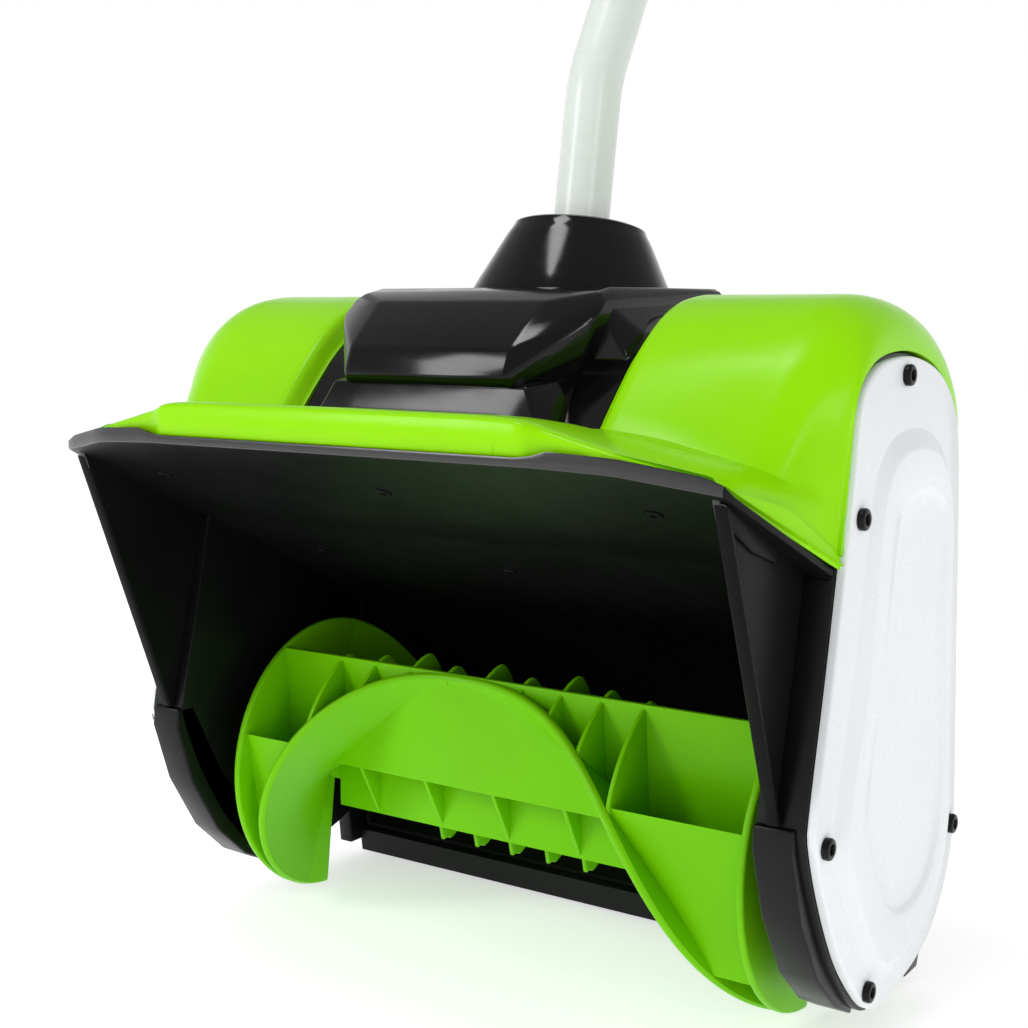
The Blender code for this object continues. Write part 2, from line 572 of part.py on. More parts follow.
def drive():
    """Motor, belt drive and auger shaft."""
    centre = (0, 0, AUGER_Z)
    for side, sign in SIDES:
        auger_half(side, sign)
        low, high = span(sign, 0.1440, 0.1500)
        axle("shaft_bearing_" + side, 0.0110, low, high, 0, AUGER_Z, STEEL, 24,
             SHAFT_R + GAP)
    axle("auger_shaft", SHAFT_R, -0.1560, 0.1625, 0, AUGER_Z, STEEL, 24, origin=centre)
    pulley("auger_pulley", BIG_PULLEY_R, 0, AUGER_Z, SHAFT_R + GAP)
    pulley("motor_pulley", SMALL_PULLEY_R, MOTOR_Y, MOTOR_Z, 0.0028)
    belt = outline("drive_belt", belt_line(0.0023), PULLEY_X0 + 0.0020, PULLEY_X1 - 0.0020,
                   RUBBER)
    inside = outline("belt_inside", belt_line(GAP), PULLEY_X0 - 0.01, PULLEY_X1 + 0.01, None)
    combine(belt, inside, "DIFFERENCE")
    can = axle("motor_can", MOTOR_R, 0.0600, 0.1340, MOTOR_Y, MOTOR_Z, STEEL, 32, 0.0060)
    bevel(can, 0.0015, 1, 60)
    cap = [(0.0060, 0.0597), (0.0265, 0.0597), (0.0265, 0.0520), (0.0200, 0.0450),
           (0.0060, 0.0450)]
    turned("motor_end_cap", cap, BLACK, Matrix.Translation((0, MOTOR_Y, MOTOR_Z)) @ ALONG_X, 32)
    axle("motor_shaft", 0.0025, 0.0500, 0.1620, MOTOR_Y, MOTOR_Z, STEEL, 16,
         origin=(0, MOTOR_Y, MOTOR_Z))
    foot = [(0.0300, hood_z(0.0300, 0.0034)), (0.0300, 0.2300), (0.0180, 0.2580),
            (-0.0260, 0.2580), (-0.0360, 0.2300), (-0.0360, hood_z(-0.0360, 0.0034))][::-1]
    mount = outline("motor_mount", foot, 0.1343, 0.1375, STEEL)
    combine(mount, axle("mount_bore", 0.0070, 0.1, 0.2, MOTOR_Y, MOTOR_Z, None), "DIFFERENCE")
    ledge = outline("mount_ledge", [(0.0300, hood_z(0.0300, 0.0034)),
                                    (0.0300, hood_z(0.0300, 0.0064)),
                                    (-0.0360, hood_z(-0.0360, 0.0064)),
                                    (-0.0360, hood_z(-0.0360, 0.0034))], 0.1100, 0.1360, None)
    combine(mount, ledge, "UNION")
    plane = HOOD_FRAME @ Matrix.Translation((-0.100, 0, 0))
    board = box("control_board", (-0.0300, -0.0350, 0.0080), (0.0300, 0.0250, 0.0096), BOARD,
                plane)
    for i, (x, y) in enumerate(((-0.026, -0.031), (0.026, -0.031), (-0.026, 0.021),
                                (0.026, 0.021))):
        combine(board, rod(f"board_post_{i}", 0.0030, 0.0003, 0.0085, None,
                           plane @ Matrix.Translation((x, y, 0)), 8), "UNION")
    for i in range(3):
        combine(board, rod(f"board_capacitor_{i}", 0.0060, 0.0090, 0.0260, None,
                           plane @ Matrix.Translation((-0.016 + 0.016 * i, -0.012, 0)), 12),
                "UNION")
    combine(board, box("board_heat_sink", (-0.022, 0.006, 0.0090), (0.022, 0.018, 0.0240), None,
                       plane), "UNION")


HOOD_FRAME = (Matrix.Translation((0, -0.0100, hood_z(-0.0100, SHEET)))
              @ Matrix.Rotation(-atan2(HOOD_SLOPE, 1), 4, "X"))


# ---------------------------------------------------------------- pole
TUBE_Y, TUBE_Z = 0.0265, 0.3260
BOOT = Matrix.Translation((0, TUBE_Y, TUBE_Z)) @ Matrix.Rotation(-LOWER_LEAN, 4, "X")
BEND_Y = TUBE_Y + (BEND_Z - TUBE_Z) * sin(LOWER_LEAN) / cos(LOWER_LEAN)
LEG = Matrix.Translation((0, BEND_Y, BEND_Z)) @ Matrix.Rotation(-UPPER_LEAN, 4, "X")
SOCKET_LOW = -0.148
JOINT = 0.300
AUX = 0.420
PIVOT_DEPTH = -0.0325
AUX_PIVOT = LEG @ Vector((0, PIVOT_DEPTH, AUX))


def leg(x, y, s):
    """World point from pole coordinates: across, towards the user, and up the pole."""
    return LEG @ Vector((x, y, s))


def pole():
    """Bent lower tube, its socket and boot, the coupler and the straight upper tube."""
    trim = 0.070 * sin((UPPER_LEAN - LOWER_LEAN) / 2) / cos((UPPER_LEAN - LOWER_LEAN) / 2)
    start = BOOT @ Vector((0, 0, SOCKET_LOW))
    points = [start]
    for i in range(7):
        lean = LOWER_LEAN + (UPPER_LEAN - LOWER_LEAN) * i / 6
        if i == 0:
            at = Vector((0, BEND_Y - trim * sin(LOWER_LEAN), BEND_Z - trim * cos(LOWER_LEAN)))
        else:
            middle = LOWER_LEAN + (UPPER_LEAN - LOWER_LEAN) * (i - 0.5) / 6
            chord = 2 * 0.070 * sin((UPPER_LEAN - LOWER_LEAN) / 12)
            at = at + Vector((0, sin(middle), cos(middle))) * chord
        points.append(at.copy())
    points.append(leg(0, 0, JOINT - 0.002))
    swept("lower_tube", points, TUBE_R, POLE, TUBE_WALL)
    socket = rod("pole_socket", 0.0190, SOCKET_LOW - 0.03, -0.0560, BLACK, BOOT, 24,
                 TUBE_R + GAP)
    below = outline("socket_base", [(-0.10, hood_z(-0.10, 0.0034)), (-0.10, 0.02),
                                    (0.10, 0.02), (0.10, hood_z(0.10, 0.0034))],
                    -0.1, 0.1, None)
    combine(socket, below, "DIFFERENCE")
    boot = turned("pole_boot", [(0.0275, 0.0), (0.0306, -0.0022), (0.0400, -0.0300),
                                (0.0450, -0.0500), (TUBE_R + GAP, -0.0500),
                                (TUBE_R + GAP, 0.0)], BLACK_GLOSS, BOOT, 32)
    under = box("boot_base", (-0.1, -0.1, 0.1), (0.1, 0.2, BOOT_Z), None)
    combine(boot, under, "DIFFERENCE")
    lengths = [leg(0, 0, JOINT + 0.002), leg(0, 0, 0.610)]
    swept("upper_tube", lengths, TUBE_R, POLE, TUBE_WALL)
    body = turned("coupler", [(0.0160, JOINT + 0.045), (0.0195, JOINT + 0.038),
                              (0.0195, JOINT - 0.038), (0.0160, JOINT - 0.045),
                              (TUBE_R + GAP, JOINT - 0.045), (TUBE_R + GAP, JOINT + 0.045)],
                  BLACK, LEG, 24)
    ear = box("coupler_ear", (0.0150, -0.0120, JOINT + 0.004), (0.0270, 0.0120, JOINT + 0.030),
              None, LEG)
    combine(body, ear, "UNION")
    across = LEG @ Matrix.Translation((0, 0, JOINT + 0.017)) @ ALONG_X
    combine(body, rod("coupler_bore", 0.0033, 0.0135, 0.04, None, across, 12), "DIFFERENCE")
    knob_at = leg(0.0275, 0, JOINT + 0.017)
    knob(knob_at, "coupler_knob", across, 0.0275, 0.0160)
    rod("coupler_bolt", 0.0030, 0.0150, 0.0345, STEEL, across, 12, origin=knob_at)


def knob(at, name, frame, low, radius):
    """Round grip knob with eight finger notches, blind bored for its bolt."""
    body = rod(name, radius, low, low + 0.0150, BLACK, frame, 24, origin=at)
    for i in range(6):
        notch = rod(f"{name}_notch_{i}", 0.0042, low - 0.01, low + 0.03, None,
                    frame @ Matrix.Rotation(i * pi / 3, 4, "Z")
                    @ Matrix.Translation((radius + 0.0012, 0, 0)), 10)
        combine(body, notch, "DIFFERENCE")
    combine(body, rod(name + "_bore", 0.0033, low - 0.01, low + 0.0080, None, frame, 12),
            "DIFFERENCE")
    return body


def bail_path():
    """Half loop of the front handle, from its hinge eye out to the middle of its bar."""
    return [(0.0150, PIVOT_DEPTH, AUX), (0.0150, -0.0500, AUX + 0.0050),
            (0.0320, -0.0660, AUX + 0.0100), (0.0490, -0.0780, AUX + 0.0140),
            (0.0590, -0.0920, AUX + 0.0190), (0.0600, -0.1060, AUX + 0.0230),
            (0.0510, -0.1185, AUX + 0.0268), (0.0370, -0.1245, AUX + 0.0285)]


def front_handle():
    """Two-part clamp on the upper tube and the hinged loop handle that it carries."""
    for name, low, high in (("aux_clamp_front", -0.0195, -GAP / 2),
                            ("aux_clamp_rear", GAP / 2, 0.0175)):
        clamp = box(name, (-0.0210, low, AUX - 0.0170), (0.0210, high, AUX + 0.0170), BLACK, LEG)
        bevel(clamp, 0.0030, 1)
        if low < -0.01:
            lug = box("aux_lug", (-0.0080, -0.0430, AUX - 0.0110), (0.0080, -0.0150, AUX + 0.0110),
                      None, LEG)
            bevel(lug, 0.0040, 1)
            combine(clamp, lug, "UNION")
            combine(clamp, rod("aux_lug_bore", 0.0033, -0.05, 0.05, None, PIVOT, 12),
                    "DIFFERENCE")
        combine(clamp, rod(name + "_bore", TUBE_R + GAP, AUX - 0.05, AUX + 0.05, None, LEG, 24),
                "DIFFERENCE")
    half = bail_path()
    path = [leg(-x, y, s) for x, y, s in half] + [leg(x, y, s) for x, y, s in half[::-1]]
    bail = swept("aux_handle", path, 0.0065, BLACK, 0.0, 2, origin=AUX_PIVOT)
    for side, sign in SIDES:
        eye = rod("aux_eye_" + side, 0.0110, *span(sign, 0.0084, 0.0216), None, PIVOT, 20)
        combine(bail, eye, "UNION")
    combine(bail, rod("aux_eye_bore", 0.0033, -0.05, 0.05, None, PIVOT, 12), "DIFFERENCE")
    bar = [leg(x, -0.1245, AUX + 0.0285) for x in (-0.0340, 0.0, 0.0340)]
    swept("aux_grip", bar, 0.0125, FOAM, 0.0125 - 0.0078, 3, origin=AUX_PIVOT)
    rod("aux_bolt", 0.0030, -0.0250, 0.0290, STEEL, PIVOT, 12)
    knob(leg(0.0220, PIVOT_DEPTH, AUX), "aux_knob", PIVOT, 0.0220, 0.0135)


PIVOT = LEG @ Matrix.Translation((0, PIVOT_DEPTH, AUX)) @ ALONG_X

# ---------------------------------------------------------------- rear handle, in (w, s)
HANDLE_LINE = [(-0.0190, 0.5600), (0.0190, 0.5600), (0.0215, 0.5850), (0.0400, 0.5980),
               (0.0540, 0.6150), (0.0585, 0.6350), (0.0585, 0.7150), (0.0560, 0.7380),
               (0.0470, 0.7560), (0.0470, 0.7780), (-0.0310, 0.7780), (-0.0310, 0.7620),
               (-0.0250, 0.7400), (-0.0195, 0.7200), (-0.0185, 0.6400), (-0.0210, 0.6000)]
WINDOW_LINE = [(0.0215, 0.6180), (0.0380, 0.6240), (0.0470, 0.6380), (0.0475, 0.7120),
               (0.0420, 0.7290), (0.0165, 0.7370), (0.0155, 0.6280)]
SIDE_ON_LEG = LEG @ SIDE_VIEW
TRIGGER_W, TRIGGER_S = 0.0075, 0.7190


def handle_half(side, sign):
    """Half of the rear handle: neck, grip, finger guard and battery bay."""
    name = "handle_half_" + side
    half = outline(name, HANDLE_LINE, *span(sign, GAP / 2, 0.0170), GREEN, SIDE_ON_LEG)
    low, high = span(sign, GAP / 2, 0.0360)
    bay = box(name + "_bay", (low, -0.0320, 0.7590), (high, 0.0480, 0.8420), None, LEG)
    bevel(bay, 0.0030, 1, 60)
    combine(half, bay, "UNION")
    for tag, shape in (
        ("window", outline(name + "_window", WINDOW_LINE, -0.05, 0.05, None, SIDE_ON_LEG)),
        ("neck", rod(name + "_neck", TUBE_R + GAP, 0.50, 0.6130, None, LEG, 24)),
        ("wires", box(name + "_wires", (-0.0130, -0.0150, 0.6080), (0.0130, 0.0110, 0.7350),
                      None, LEG)),
        ("duct", box(name + "_duct", (-0.0080, -0.0100, 0.7300), (0.0080, 0.0080, 0.7800),
                     None, LEG)),
        ("slot", box(name + "_slot", (-0.0075, 0.0, 0.6500), (0.0075, 0.0300, 0.7280), None, LEG)),
        ("socket", box(name + "_socket", (-0.0324, -0.0277, 0.7850), (0.0324, 0.0437, 0.90),
                       None, LEG)),
        ("contacts", box(name + "_contacts", (-0.0130, -0.0040, 0.7720), (0.0130, 0.0200, 0.80),
                         None, LEG)),
        ("lock", rod(name + "_lock", 0.0059, -0.05, 0.05, None, LOCK, 16)),
    ):
        combine(half, shape, "DIFFERENCE")
    return half


LOCK_W, LOCK_S = -0.0100, 0.7480
LOCK = LEG @ Matrix.Translation((0, LOCK_W, LOCK_S)) @ ALONG_X


def rear_handle():
    """Handle halves with the trigger, its switch, the lock-off pin and the battery."""
    for side, sign in SIDES:
        handle_half(side, sign)
    blade = [(0.0030, 0.6570), (0.0180, 0.6540), (0.0245, 0.6630), (0.0235, 0.6950),
             (0.0150, 0.7240), (0.0030, 0.7260)]
    trigger = outline("trigger", blade, -0.0070, 0.0070, BLACK, SIDE_ON_LEG,
                      leg(0, TRIGGER_W, TRIGGER_S))
    bevel(trigger, 0.0015, 1, 60)
    switch = box("trigger_switch", (-0.0060, -0.0147, 0.6350), (0.0060, -0.0070, 0.6900), BLACK,
                 LEG)
    bevel(switch, 0.0008)
    rod("lock_off_button", 0.0055, -0.0220, 0.0220, RUBBER, LOCK, 16,
        origin=leg(0, LOCK_W, LOCK_S))
    contacts = box("terminal_block", (-0.0127, -0.0037, 0.7723), (0.0127, 0.0197, 0.7847),
                   BLACK, LEG)
    for i in range(3):
        x = -0.0085 + 0.0085 * i
        pin = box(f"contact_{i}", (x - 0.0004, 0.0020, 0.7800), (x + 0.0004, 0.0140, 0.7960),
                  None, LEG)
        combine(contacts, pin, "UNION")
    seat = leg(0, 0.0080, 0.7900)
    pack = box("battery_pack", (-0.0320, -0.0273, 0.7900), (0.0320, 0.0433, 0.9050), BLACK, LEG,
               seat)
    bevel(pack, 0.0040, 2)
    for i in range(3):
        x = -0.0085 + 0.0085 * i
        slot = box(f"pack_slot_{i}", (x - 0.0010, 0.0010, 0.78), (x + 0.0010, 0.0150, 0.7990),
                   None, LEG)
        combine(pack, slot, "DIFFERENCE")
    recess = box("latch_recess", (-0.0130, -0.04, 0.8600), (0.0130, -0.0200, 0.8860), None, LEG)
    combine(pack, recess, "DIFFERENCE")
    latch = box("battery_latch", (-0.0126, -0.0300, 0.8604), (0.0126, -0.0236, 0.8856), GREEN,
                LEG, leg(0, -0.0268, 0.8730))
    bevel(latch, 0.0010)


def build():
    head_shell()
    for side, sign in SIDES:
        side_plate(side, sign)
        side_cover(side, sign)
    top_shell()
    centre_cover()
    rear_panel()
    scraper()
    drive()
    pole()
    front_handle()
    rear_handle()
    root.location = (0, -SCRAPER_Y, 0)
    bpy.context.view_layer.update()


build()
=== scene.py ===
import json
from math import atan2, cos, degrees, pi, radians, sin, sqrt

import bmesh
import bpy
from mathutils import Matrix, Vector

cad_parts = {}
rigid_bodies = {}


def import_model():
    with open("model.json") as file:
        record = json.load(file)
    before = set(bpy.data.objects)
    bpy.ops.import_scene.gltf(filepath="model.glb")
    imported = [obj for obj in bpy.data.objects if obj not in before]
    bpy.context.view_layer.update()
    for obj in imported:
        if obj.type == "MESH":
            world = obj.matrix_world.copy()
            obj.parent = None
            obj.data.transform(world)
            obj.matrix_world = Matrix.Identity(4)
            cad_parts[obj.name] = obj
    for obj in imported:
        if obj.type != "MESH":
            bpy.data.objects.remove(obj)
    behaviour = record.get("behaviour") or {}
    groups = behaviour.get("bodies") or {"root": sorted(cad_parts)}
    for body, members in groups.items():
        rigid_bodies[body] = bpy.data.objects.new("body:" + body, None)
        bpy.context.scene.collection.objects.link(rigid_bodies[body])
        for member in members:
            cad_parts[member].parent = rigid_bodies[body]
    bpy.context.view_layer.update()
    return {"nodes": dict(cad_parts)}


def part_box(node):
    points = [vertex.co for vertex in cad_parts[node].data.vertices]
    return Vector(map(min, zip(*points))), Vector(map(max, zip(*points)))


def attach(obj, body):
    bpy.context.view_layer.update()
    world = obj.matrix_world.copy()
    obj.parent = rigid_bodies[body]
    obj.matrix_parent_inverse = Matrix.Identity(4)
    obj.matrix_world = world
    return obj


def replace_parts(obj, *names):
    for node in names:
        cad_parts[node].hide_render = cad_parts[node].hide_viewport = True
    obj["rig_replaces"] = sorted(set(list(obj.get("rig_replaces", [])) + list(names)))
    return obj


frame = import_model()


def centre(node):
    low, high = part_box(node)
    return (low + high) / 2


# ------------------------------ places taken from the frame
AXIS = centre("auger_shaft")
AXIS_Y, AXIS_Z = AXIS.y, AXIS.z
COVER_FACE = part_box("side_cover_right")[1].x          # face of the raised boss
COVER_FLAT = COVER_FACE - 0.0035
PLATE_OUT = COVER_FLAT - 0.004
PLATE_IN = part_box("side_plate_right")[0].x
SHELL_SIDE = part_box("top_shell")[1].x
TUBE_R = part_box("upper_tube")[1].x
MOVE = Matrix.Translation((0, AXIS_Y, 0))              # side outlines count y from the auger's axis

# ------------------------------ driving dimensions, metres
HOOD_SLOPE, HOOD_Y, HOOD_Z = 0.495, -0.1158, 0.2189    # the hood's underside passes this point
HOOD_TILT = atan2(HOOD_SLOPE, 1)
SHEET = 0.003
CHAMBER_R, CHAMBER_Z = 0.076, 0.0768
LOWER_LEAN, UPPER_LEAN = radians(9.7), radians(29.0)   # the pole below and above its bend
BOOT_Y, BOOT_Z = 0.0265, 0.326                         # middle of the boot's upper rim
BEND_Z, BEND_R = 0.392, 0.07
BEND_Y = BOOT_Y + (BEND_Z - BOOT_Z) * sin(LOWER_LEAN) / cos(LOWER_LEAN)
BOOT = MOVE @ Matrix.Translation((0, BOOT_Y, BOOT_Z)) @ Matrix.Rotation(-LOWER_LEAN, 4, "X")
LEG = MOVE @ Matrix.Translation((0, BEND_Y, BEND_Z)) @ Matrix.Rotation(-UPPER_LEAN, 4, "X")
SIDE_VIEW = Matrix(((0, 0, 1), (1, 0, 0), (0, 1, 0))).to_4x4()
FRONT_VIEW = Matrix(((1, 0, 0, 0), (0, 0, 1, 0), (0, 1, 0, 0), (0, 0, 0, 1)))
ALONG_X = Matrix.Rotation(radians(90), 4, "Y")
AGAINST_X = Matrix.Rotation(radians(-90), 4, "Y")
SIDES = (("left", -1), ("right", 1))


def mm(points):
    """Points given in millimetres."""
    return [tuple(value / 1000 for value in point) for point in points]


def hood_z(y, lift=0.0):
    """Height of the hood's underside at y, lifted square to its slope."""
    return HOOD_Z - HOOD_SLOPE * (y - HOOD_Y) + lift * sqrt(1 + HOOD_SLOPE ** 2)


def span(sign, low, high):
    """A stretch of X given for the right side, taken to the side that sign names."""
    return (low, high) if sign > 0 else (-high, -low)


# ------------------------------ materials
TONE_SCALE, SECOND_SCALE, SMUDGE_SCALE = 25.0, 75.0, 60.0       # noise scales per metre


def surface(name, colour, rough, metallic=0.0, mottle=0.03, spread=0.04, grain=900.0,
            bump=0.05, depth=0.00005, specular=0.5, second=None, stretch=(1, 1, 1)):
    """A procedural finish: colour mottling, uneven gloss and a fine moulded or ground grain."""
    mat = bpy.data.materials.new(name)
    mat.use_nodes = True
    mat.diffuse_color = (*colour, 1)
    nodes, link = mat.node_tree.nodes, mat.node_tree.links.new
    shader = nodes["Principled BSDF"]
    shader.inputs["Metallic"].default_value = metallic
    shader.inputs["Specular IOR Level"].default_value = specular
    place = nodes.new("ShaderNodeTexCoord")
    mapping = nodes.new("ShaderNodeMapping")
    mapping.inputs["Scale"].default_value = stretch
    link(place.outputs["Object"], mapping.inputs["Vector"])

    def noise(scale, detail, rough_in=0.5):
        n = nodes.new("ShaderNodeTexNoise")
        n.inputs["Scale"].default_value = scale
        n.inputs["Detail"].default_value = detail
        n.inputs["Roughness"].default_value = rough_in
        link(mapping.outputs["Vector"], n.inputs["Vector"])
        return n.outputs["Fac"]

    def ranged(value, low, high, start=0.3, end=0.7):
        m = nodes.new("ShaderNodeMapRange")
        for key, v in (("From Min", start), ("From Max", end), ("To Min", low), ("To Max", high)):
            m.inputs[key].default_value = v
        link(value, m.inputs["Value"])
        return m.outputs["Result"]

    tone = nodes.new("ShaderNodeHueSaturation")
    tone.inputs["Color"].default_value = (*colour, 1)
    link(ranged(noise(TONE_SCALE, 4), 1 - mottle, 1 + mottle), tone.inputs["Value"])
    base = tone.outputs["Color"]
    if second is not None:
        ramp = nodes.new("ShaderNodeMix")
        ramp.data_type = "RGBA"
        link(ranged(noise(SECOND_SCALE, 6, 0.65), 0, 1, 0.6, 0.64), ramp.inputs["Factor"])
        link(base, ramp.inputs["A"])
        ramp.inputs["B"].default_value = (*second, 1)
        base = ramp.outputs["Result"]
    link(base, shader.inputs["Base Color"])
    link(ranged(noise(SMUDGE_SCALE, 5, 0.6), max(rough - spread, 0.02), rough + spread),
         shader.inputs["Roughness"])
    relief = nodes.new("ShaderNodeBump")
    relief.inputs["Strength"].default_value = bump
    relief.inputs["Distance"].default_value = depth
    link(noise(grain, 3), relief.inputs["Height"])
    link(relief.outputs["Normal"], shader.inputs["Normal"])
    return mat


GREEN = surface("green_moulding", (0.275, 0.7, 0.0005), 0.24, mottle=0.02, grain=260,
                bump=0.03, depth=0.0001, specular=0.12)
GREEN_AUGER = surface("green_auger", (0.16, 0.54, 0.0008), 0.34, mottle=0.03, grain=420,
                      bump=0.03, depth=0.0001, specular=0.12)
BLACK = surface("black_moulding", (0.0035, 0.0037, 0.004), 0.32, mottle=0.15, grain=1500,
                bump=0.06, specular=0.2)
BLACK_GLOSS = surface("black_polished", (0.003, 0.003, 0.0035), 0.12, mottle=0.1, spread=0.03,
                      grain=240, bump=0.02, depth=0.0001, specular=0.24)
# A lighter copy of the black plastic for the hood's front edge: its lighter colour is a painted
# highlight along the lip, and its gloss is real.
PAINTED_LIP_HIGHLIGHT = surface("black_lip_painted_highlight", (0.02, 0.02, 0.021), 0.22, mottle=0.15, spread=0.04,
                    grain=300, bump=0.02, depth=0.0001, specular=0.5)
BLACK_HOOD = surface("black_hood", (0.006, 0.0066, 0.0062), 0.36, mottle=0.15, spread=0.05,
                     grain=300, bump=0.03, depth=0.0001, specular=0.05)
WHITE = surface("pale_cover", (0.765, 0.79, 0.805), 0.28, mottle=0.005, spread=0.02, grain=1500,
                bump=0.01, specular=0.25)
POLE = surface("pole_lacquer", (0.66, 0.7, 0.665), 0.26, mottle=0.02, grain=1400,
               bump=0.04, specular=0.35)
STEEL = surface("bare_steel", (0.56, 0.56, 0.57), 0.3, metallic=1.0, mottle=0.08, grain=300,
                bump=0.15, stretch=(1, 12, 12), spread=0.08)
DARK_STEEL = surface("black_screw", (0.012, 0.012, 0.013), 0.3, metallic=0.6, mottle=0.2,
                     grain=900, bump=0.1, specular=0.2)
RUBBER = surface("black_rubber", (0.01, 0.01, 0.01), 0.72, mottle=0.15, grain=1200,
                 bump=0.25, specular=0.12)
FOAM = surface("foam_sleeve", (0.011, 0.011, 0.011), 0.88, mottle=0.2, grain=1600, bump=0.6,
               depth=0.0004, specular=0.1)
BOARD = surface("circuit_board", (0.02, 0.15, 0.06), 0.45, mottle=0.1, grain=500, bump=0.2,
                second=(0.3, 0.2, 0.05))


# ------------------------------ mesh tools
def shaded(mesh, angle):
    """Smooth shading with sharp edges above the angle, in degrees."""
    mesh.shade_smooth()
    mesh.set_sharp_from_angle(angle=radians(angle))
    return mesh


def finish_mesh(bm, angle=35):
    bmesh.ops.remove_doubles(bm, verts=bm.verts, dist=0.000004)
    mesh = bpy.data.meshes.new("shape")
    bm.to_mesh(mesh)
    bm.free()
    return shaded(mesh, angle)


def join(meshes, angle=35):
    bm = bmesh.new()
    for mesh in meshes:
        bm.from_mesh(mesh)
    mesh = bpy.data.meshes.new("joined")
    bm.to_mesh(mesh)
    bm.free()
    return shaded(mesh, angle)


def new_object(name, data):
    obj = bpy.data.objects.new(name, data)
    bpy.context.scene.collection.objects.link(obj)
    return obj


def piece(name, mesh, mat, body, nodes=()):
    """A visible piece that rides a body and stands in for the CAD nodes named."""
    obj = new_object(name, mesh)
    mesh.name = name
    for m in mat if isinstance(mat, (list, tuple)) else (mat,):
        mesh.materials.append(m)
    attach(obj, body)
    if nodes:
        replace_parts(obj, *nodes)


def round_edges(bm, width, segments=3, angle=30):
    edges = [e for e in bm.edges if e.is_manifold and e.calc_face_angle(0) > radians(angle)]
    bmesh.ops.bevel(bm, geom=edges, offset=width, segments=segments, profile=0.5,
                    affect="EDGES", clamp_overlap=True)


def prism(points, low, high, matrix=None, round_by=0.0, segments=3, angle=30, side_view=True):
    """A flat outline pushed along its third axis, with rounded edges."""
    bm = bmesh.new()
    rings = [[bm.verts.new((u, v, w)) for u, v in points] for w in (low, high)]
    bm.faces.new(rings[0][::-1])
    bm.faces.new(rings[1])
    count = len(points)
    for i in range(count):
        j = (i + 1) % count
        bm.faces.new((rings[0][i], rings[0][j], rings[1][j], rings[1][i]))
    bmesh.ops.recalc_face_normals(bm, faces=bm.faces)
    if round_by:
        round_edges(bm, round_by, segments, angle)
    whole = (matrix or MOVE) @ (SIDE_VIEW if side_view else Matrix.Identity(4))
    bmesh.ops.transform(bm, matrix=whole, verts=bm.verts)
    return finish_mesh(bm)


def block(low, high, matrix=None, round_by=0.0, segments=3):
    (x0, y0, z0), (x1, y1, z1) = low, high
    return prism([(x0, y0), (x1, y0), (x1, y1), (x0, y1)], z0, z1, matrix or MOVE, round_by,
                 segments, side_view=False)


def turned(profile, matrix, steps=64, angle=35):
    """A closed profile of (radius, height) turned about Z."""
    bm = bmesh.new()
    rings = []
    for k in range(steps):
        a = 2 * pi * k / steps
        rings.append([bm.verts.new((r * cos(a), r * sin(a), h)) for r, h in profile])
    count = len(profile)
    closed = profile[0][0] > 1e-6
    for k in range(steps):
        a, b = rings[k], rings[(k + 1) % steps]
        for i in range(count if closed else count - 1):
            j = (i + 1) % count
            bm.faces.new((a[i], a[j], b[j], b[i]))
    bmesh.ops.remove_doubles(bm, verts=bm.verts, dist=0.000003)
    bad = [f for f in bm.faces if f.calc_area() < 1e-13]
    bmesh.ops.delete(bm, geom=bad, context="FACES")
    bmesh.ops.recalc_face_normals(bm, faces=bm.faces)
    bmesh.ops.transform(bm, matrix=matrix, verts=bm.verts)
    return finish_mesh(bm, angle)


def bar(radius, low, high, matrix, steps=40, edge=0.0006, hole=0.0):
    """A round bar or sleeve along Z with softened ends."""
    profile = [(hole, low), (radius - edge, low), (radius, low + edge),
               (radius, high - edge), (radius - edge, high), (hole, high)]
    return turned(profile, matrix, steps)


def loft(rings, cyclic=True, matrix=None, angle=35):
    """A skin through rings of equal length; closed rings are capped at both ends."""
    bm = bmesh.new()
    made = [[bm.verts.new(p) for p in ring] for ring in rings]
    count = len(rings[0])
    for a, b in zip(made, made[1:]):
        for i in range(count if cyclic else count - 1):
            j = (i + 1) % count
            bm.faces.new((a[i], a[j], b[j], b[i]))
    if cyclic:
        bm.faces.new(made[0][::-1])
        bm.faces.new(made[-1])
    bmesh.ops.recalc_face_normals(bm, faces=bm.faces)
    if matrix is not None:
        bmesh.ops.transform(bm, matrix=matrix, verts=bm.verts)
    return finish_mesh(bm, angle)


def tube(path, radius, steps=32):
    """A round bar along a path of points."""
    rings = []
    up = None
    for i, p in enumerate(path):
        ahead = path[min(i + 1, len(path) - 1)] - path[max(i - 1, 0)]
        t = ahead.normalized()
        if up is None:
            up = t.orthogonal().normalized()
        up = (up - t * up.dot(t)).normalized()
        side = t.cross(up)
        rings.append([p + (up * cos(2 * pi * k / steps) + side * sin(2 * pi * k / steps)) * radius
                      for k in range(steps)])
    return loft(rings)


def smooth_path(points, per=8, closed=False):
    """Catmull-Rom curve through points."""
    pts = [Vector(p) for p in points]
    count = len(pts)
    out = []
    for i in range(count if closed else count - 1):
        p0, p1, p2, p3 = (pts[(i + k) % count if closed else min(max(i + k, 0), count - 1)]
                          for k in (-1, 0, 1, 2))
        for s in range(per):
            t = s / per
            out.append(0.5 * ((2 * p1) + (p2 - p0) * t + (2 * p0 - 5 * p1 + 4 * p2 - p3) * t * t
                              + (3 * p1 - p0 - 3 * p2 + p3) * t ** 3))
    if not closed:
        out.append(pts[-1])
    return out


def smooth_outline(points, per=6):
    """A closed smooth outline through flat points."""
    return [(p.x, p.y) for p in smooth_path([(u, v, 0) for u, v in points], per, True)]


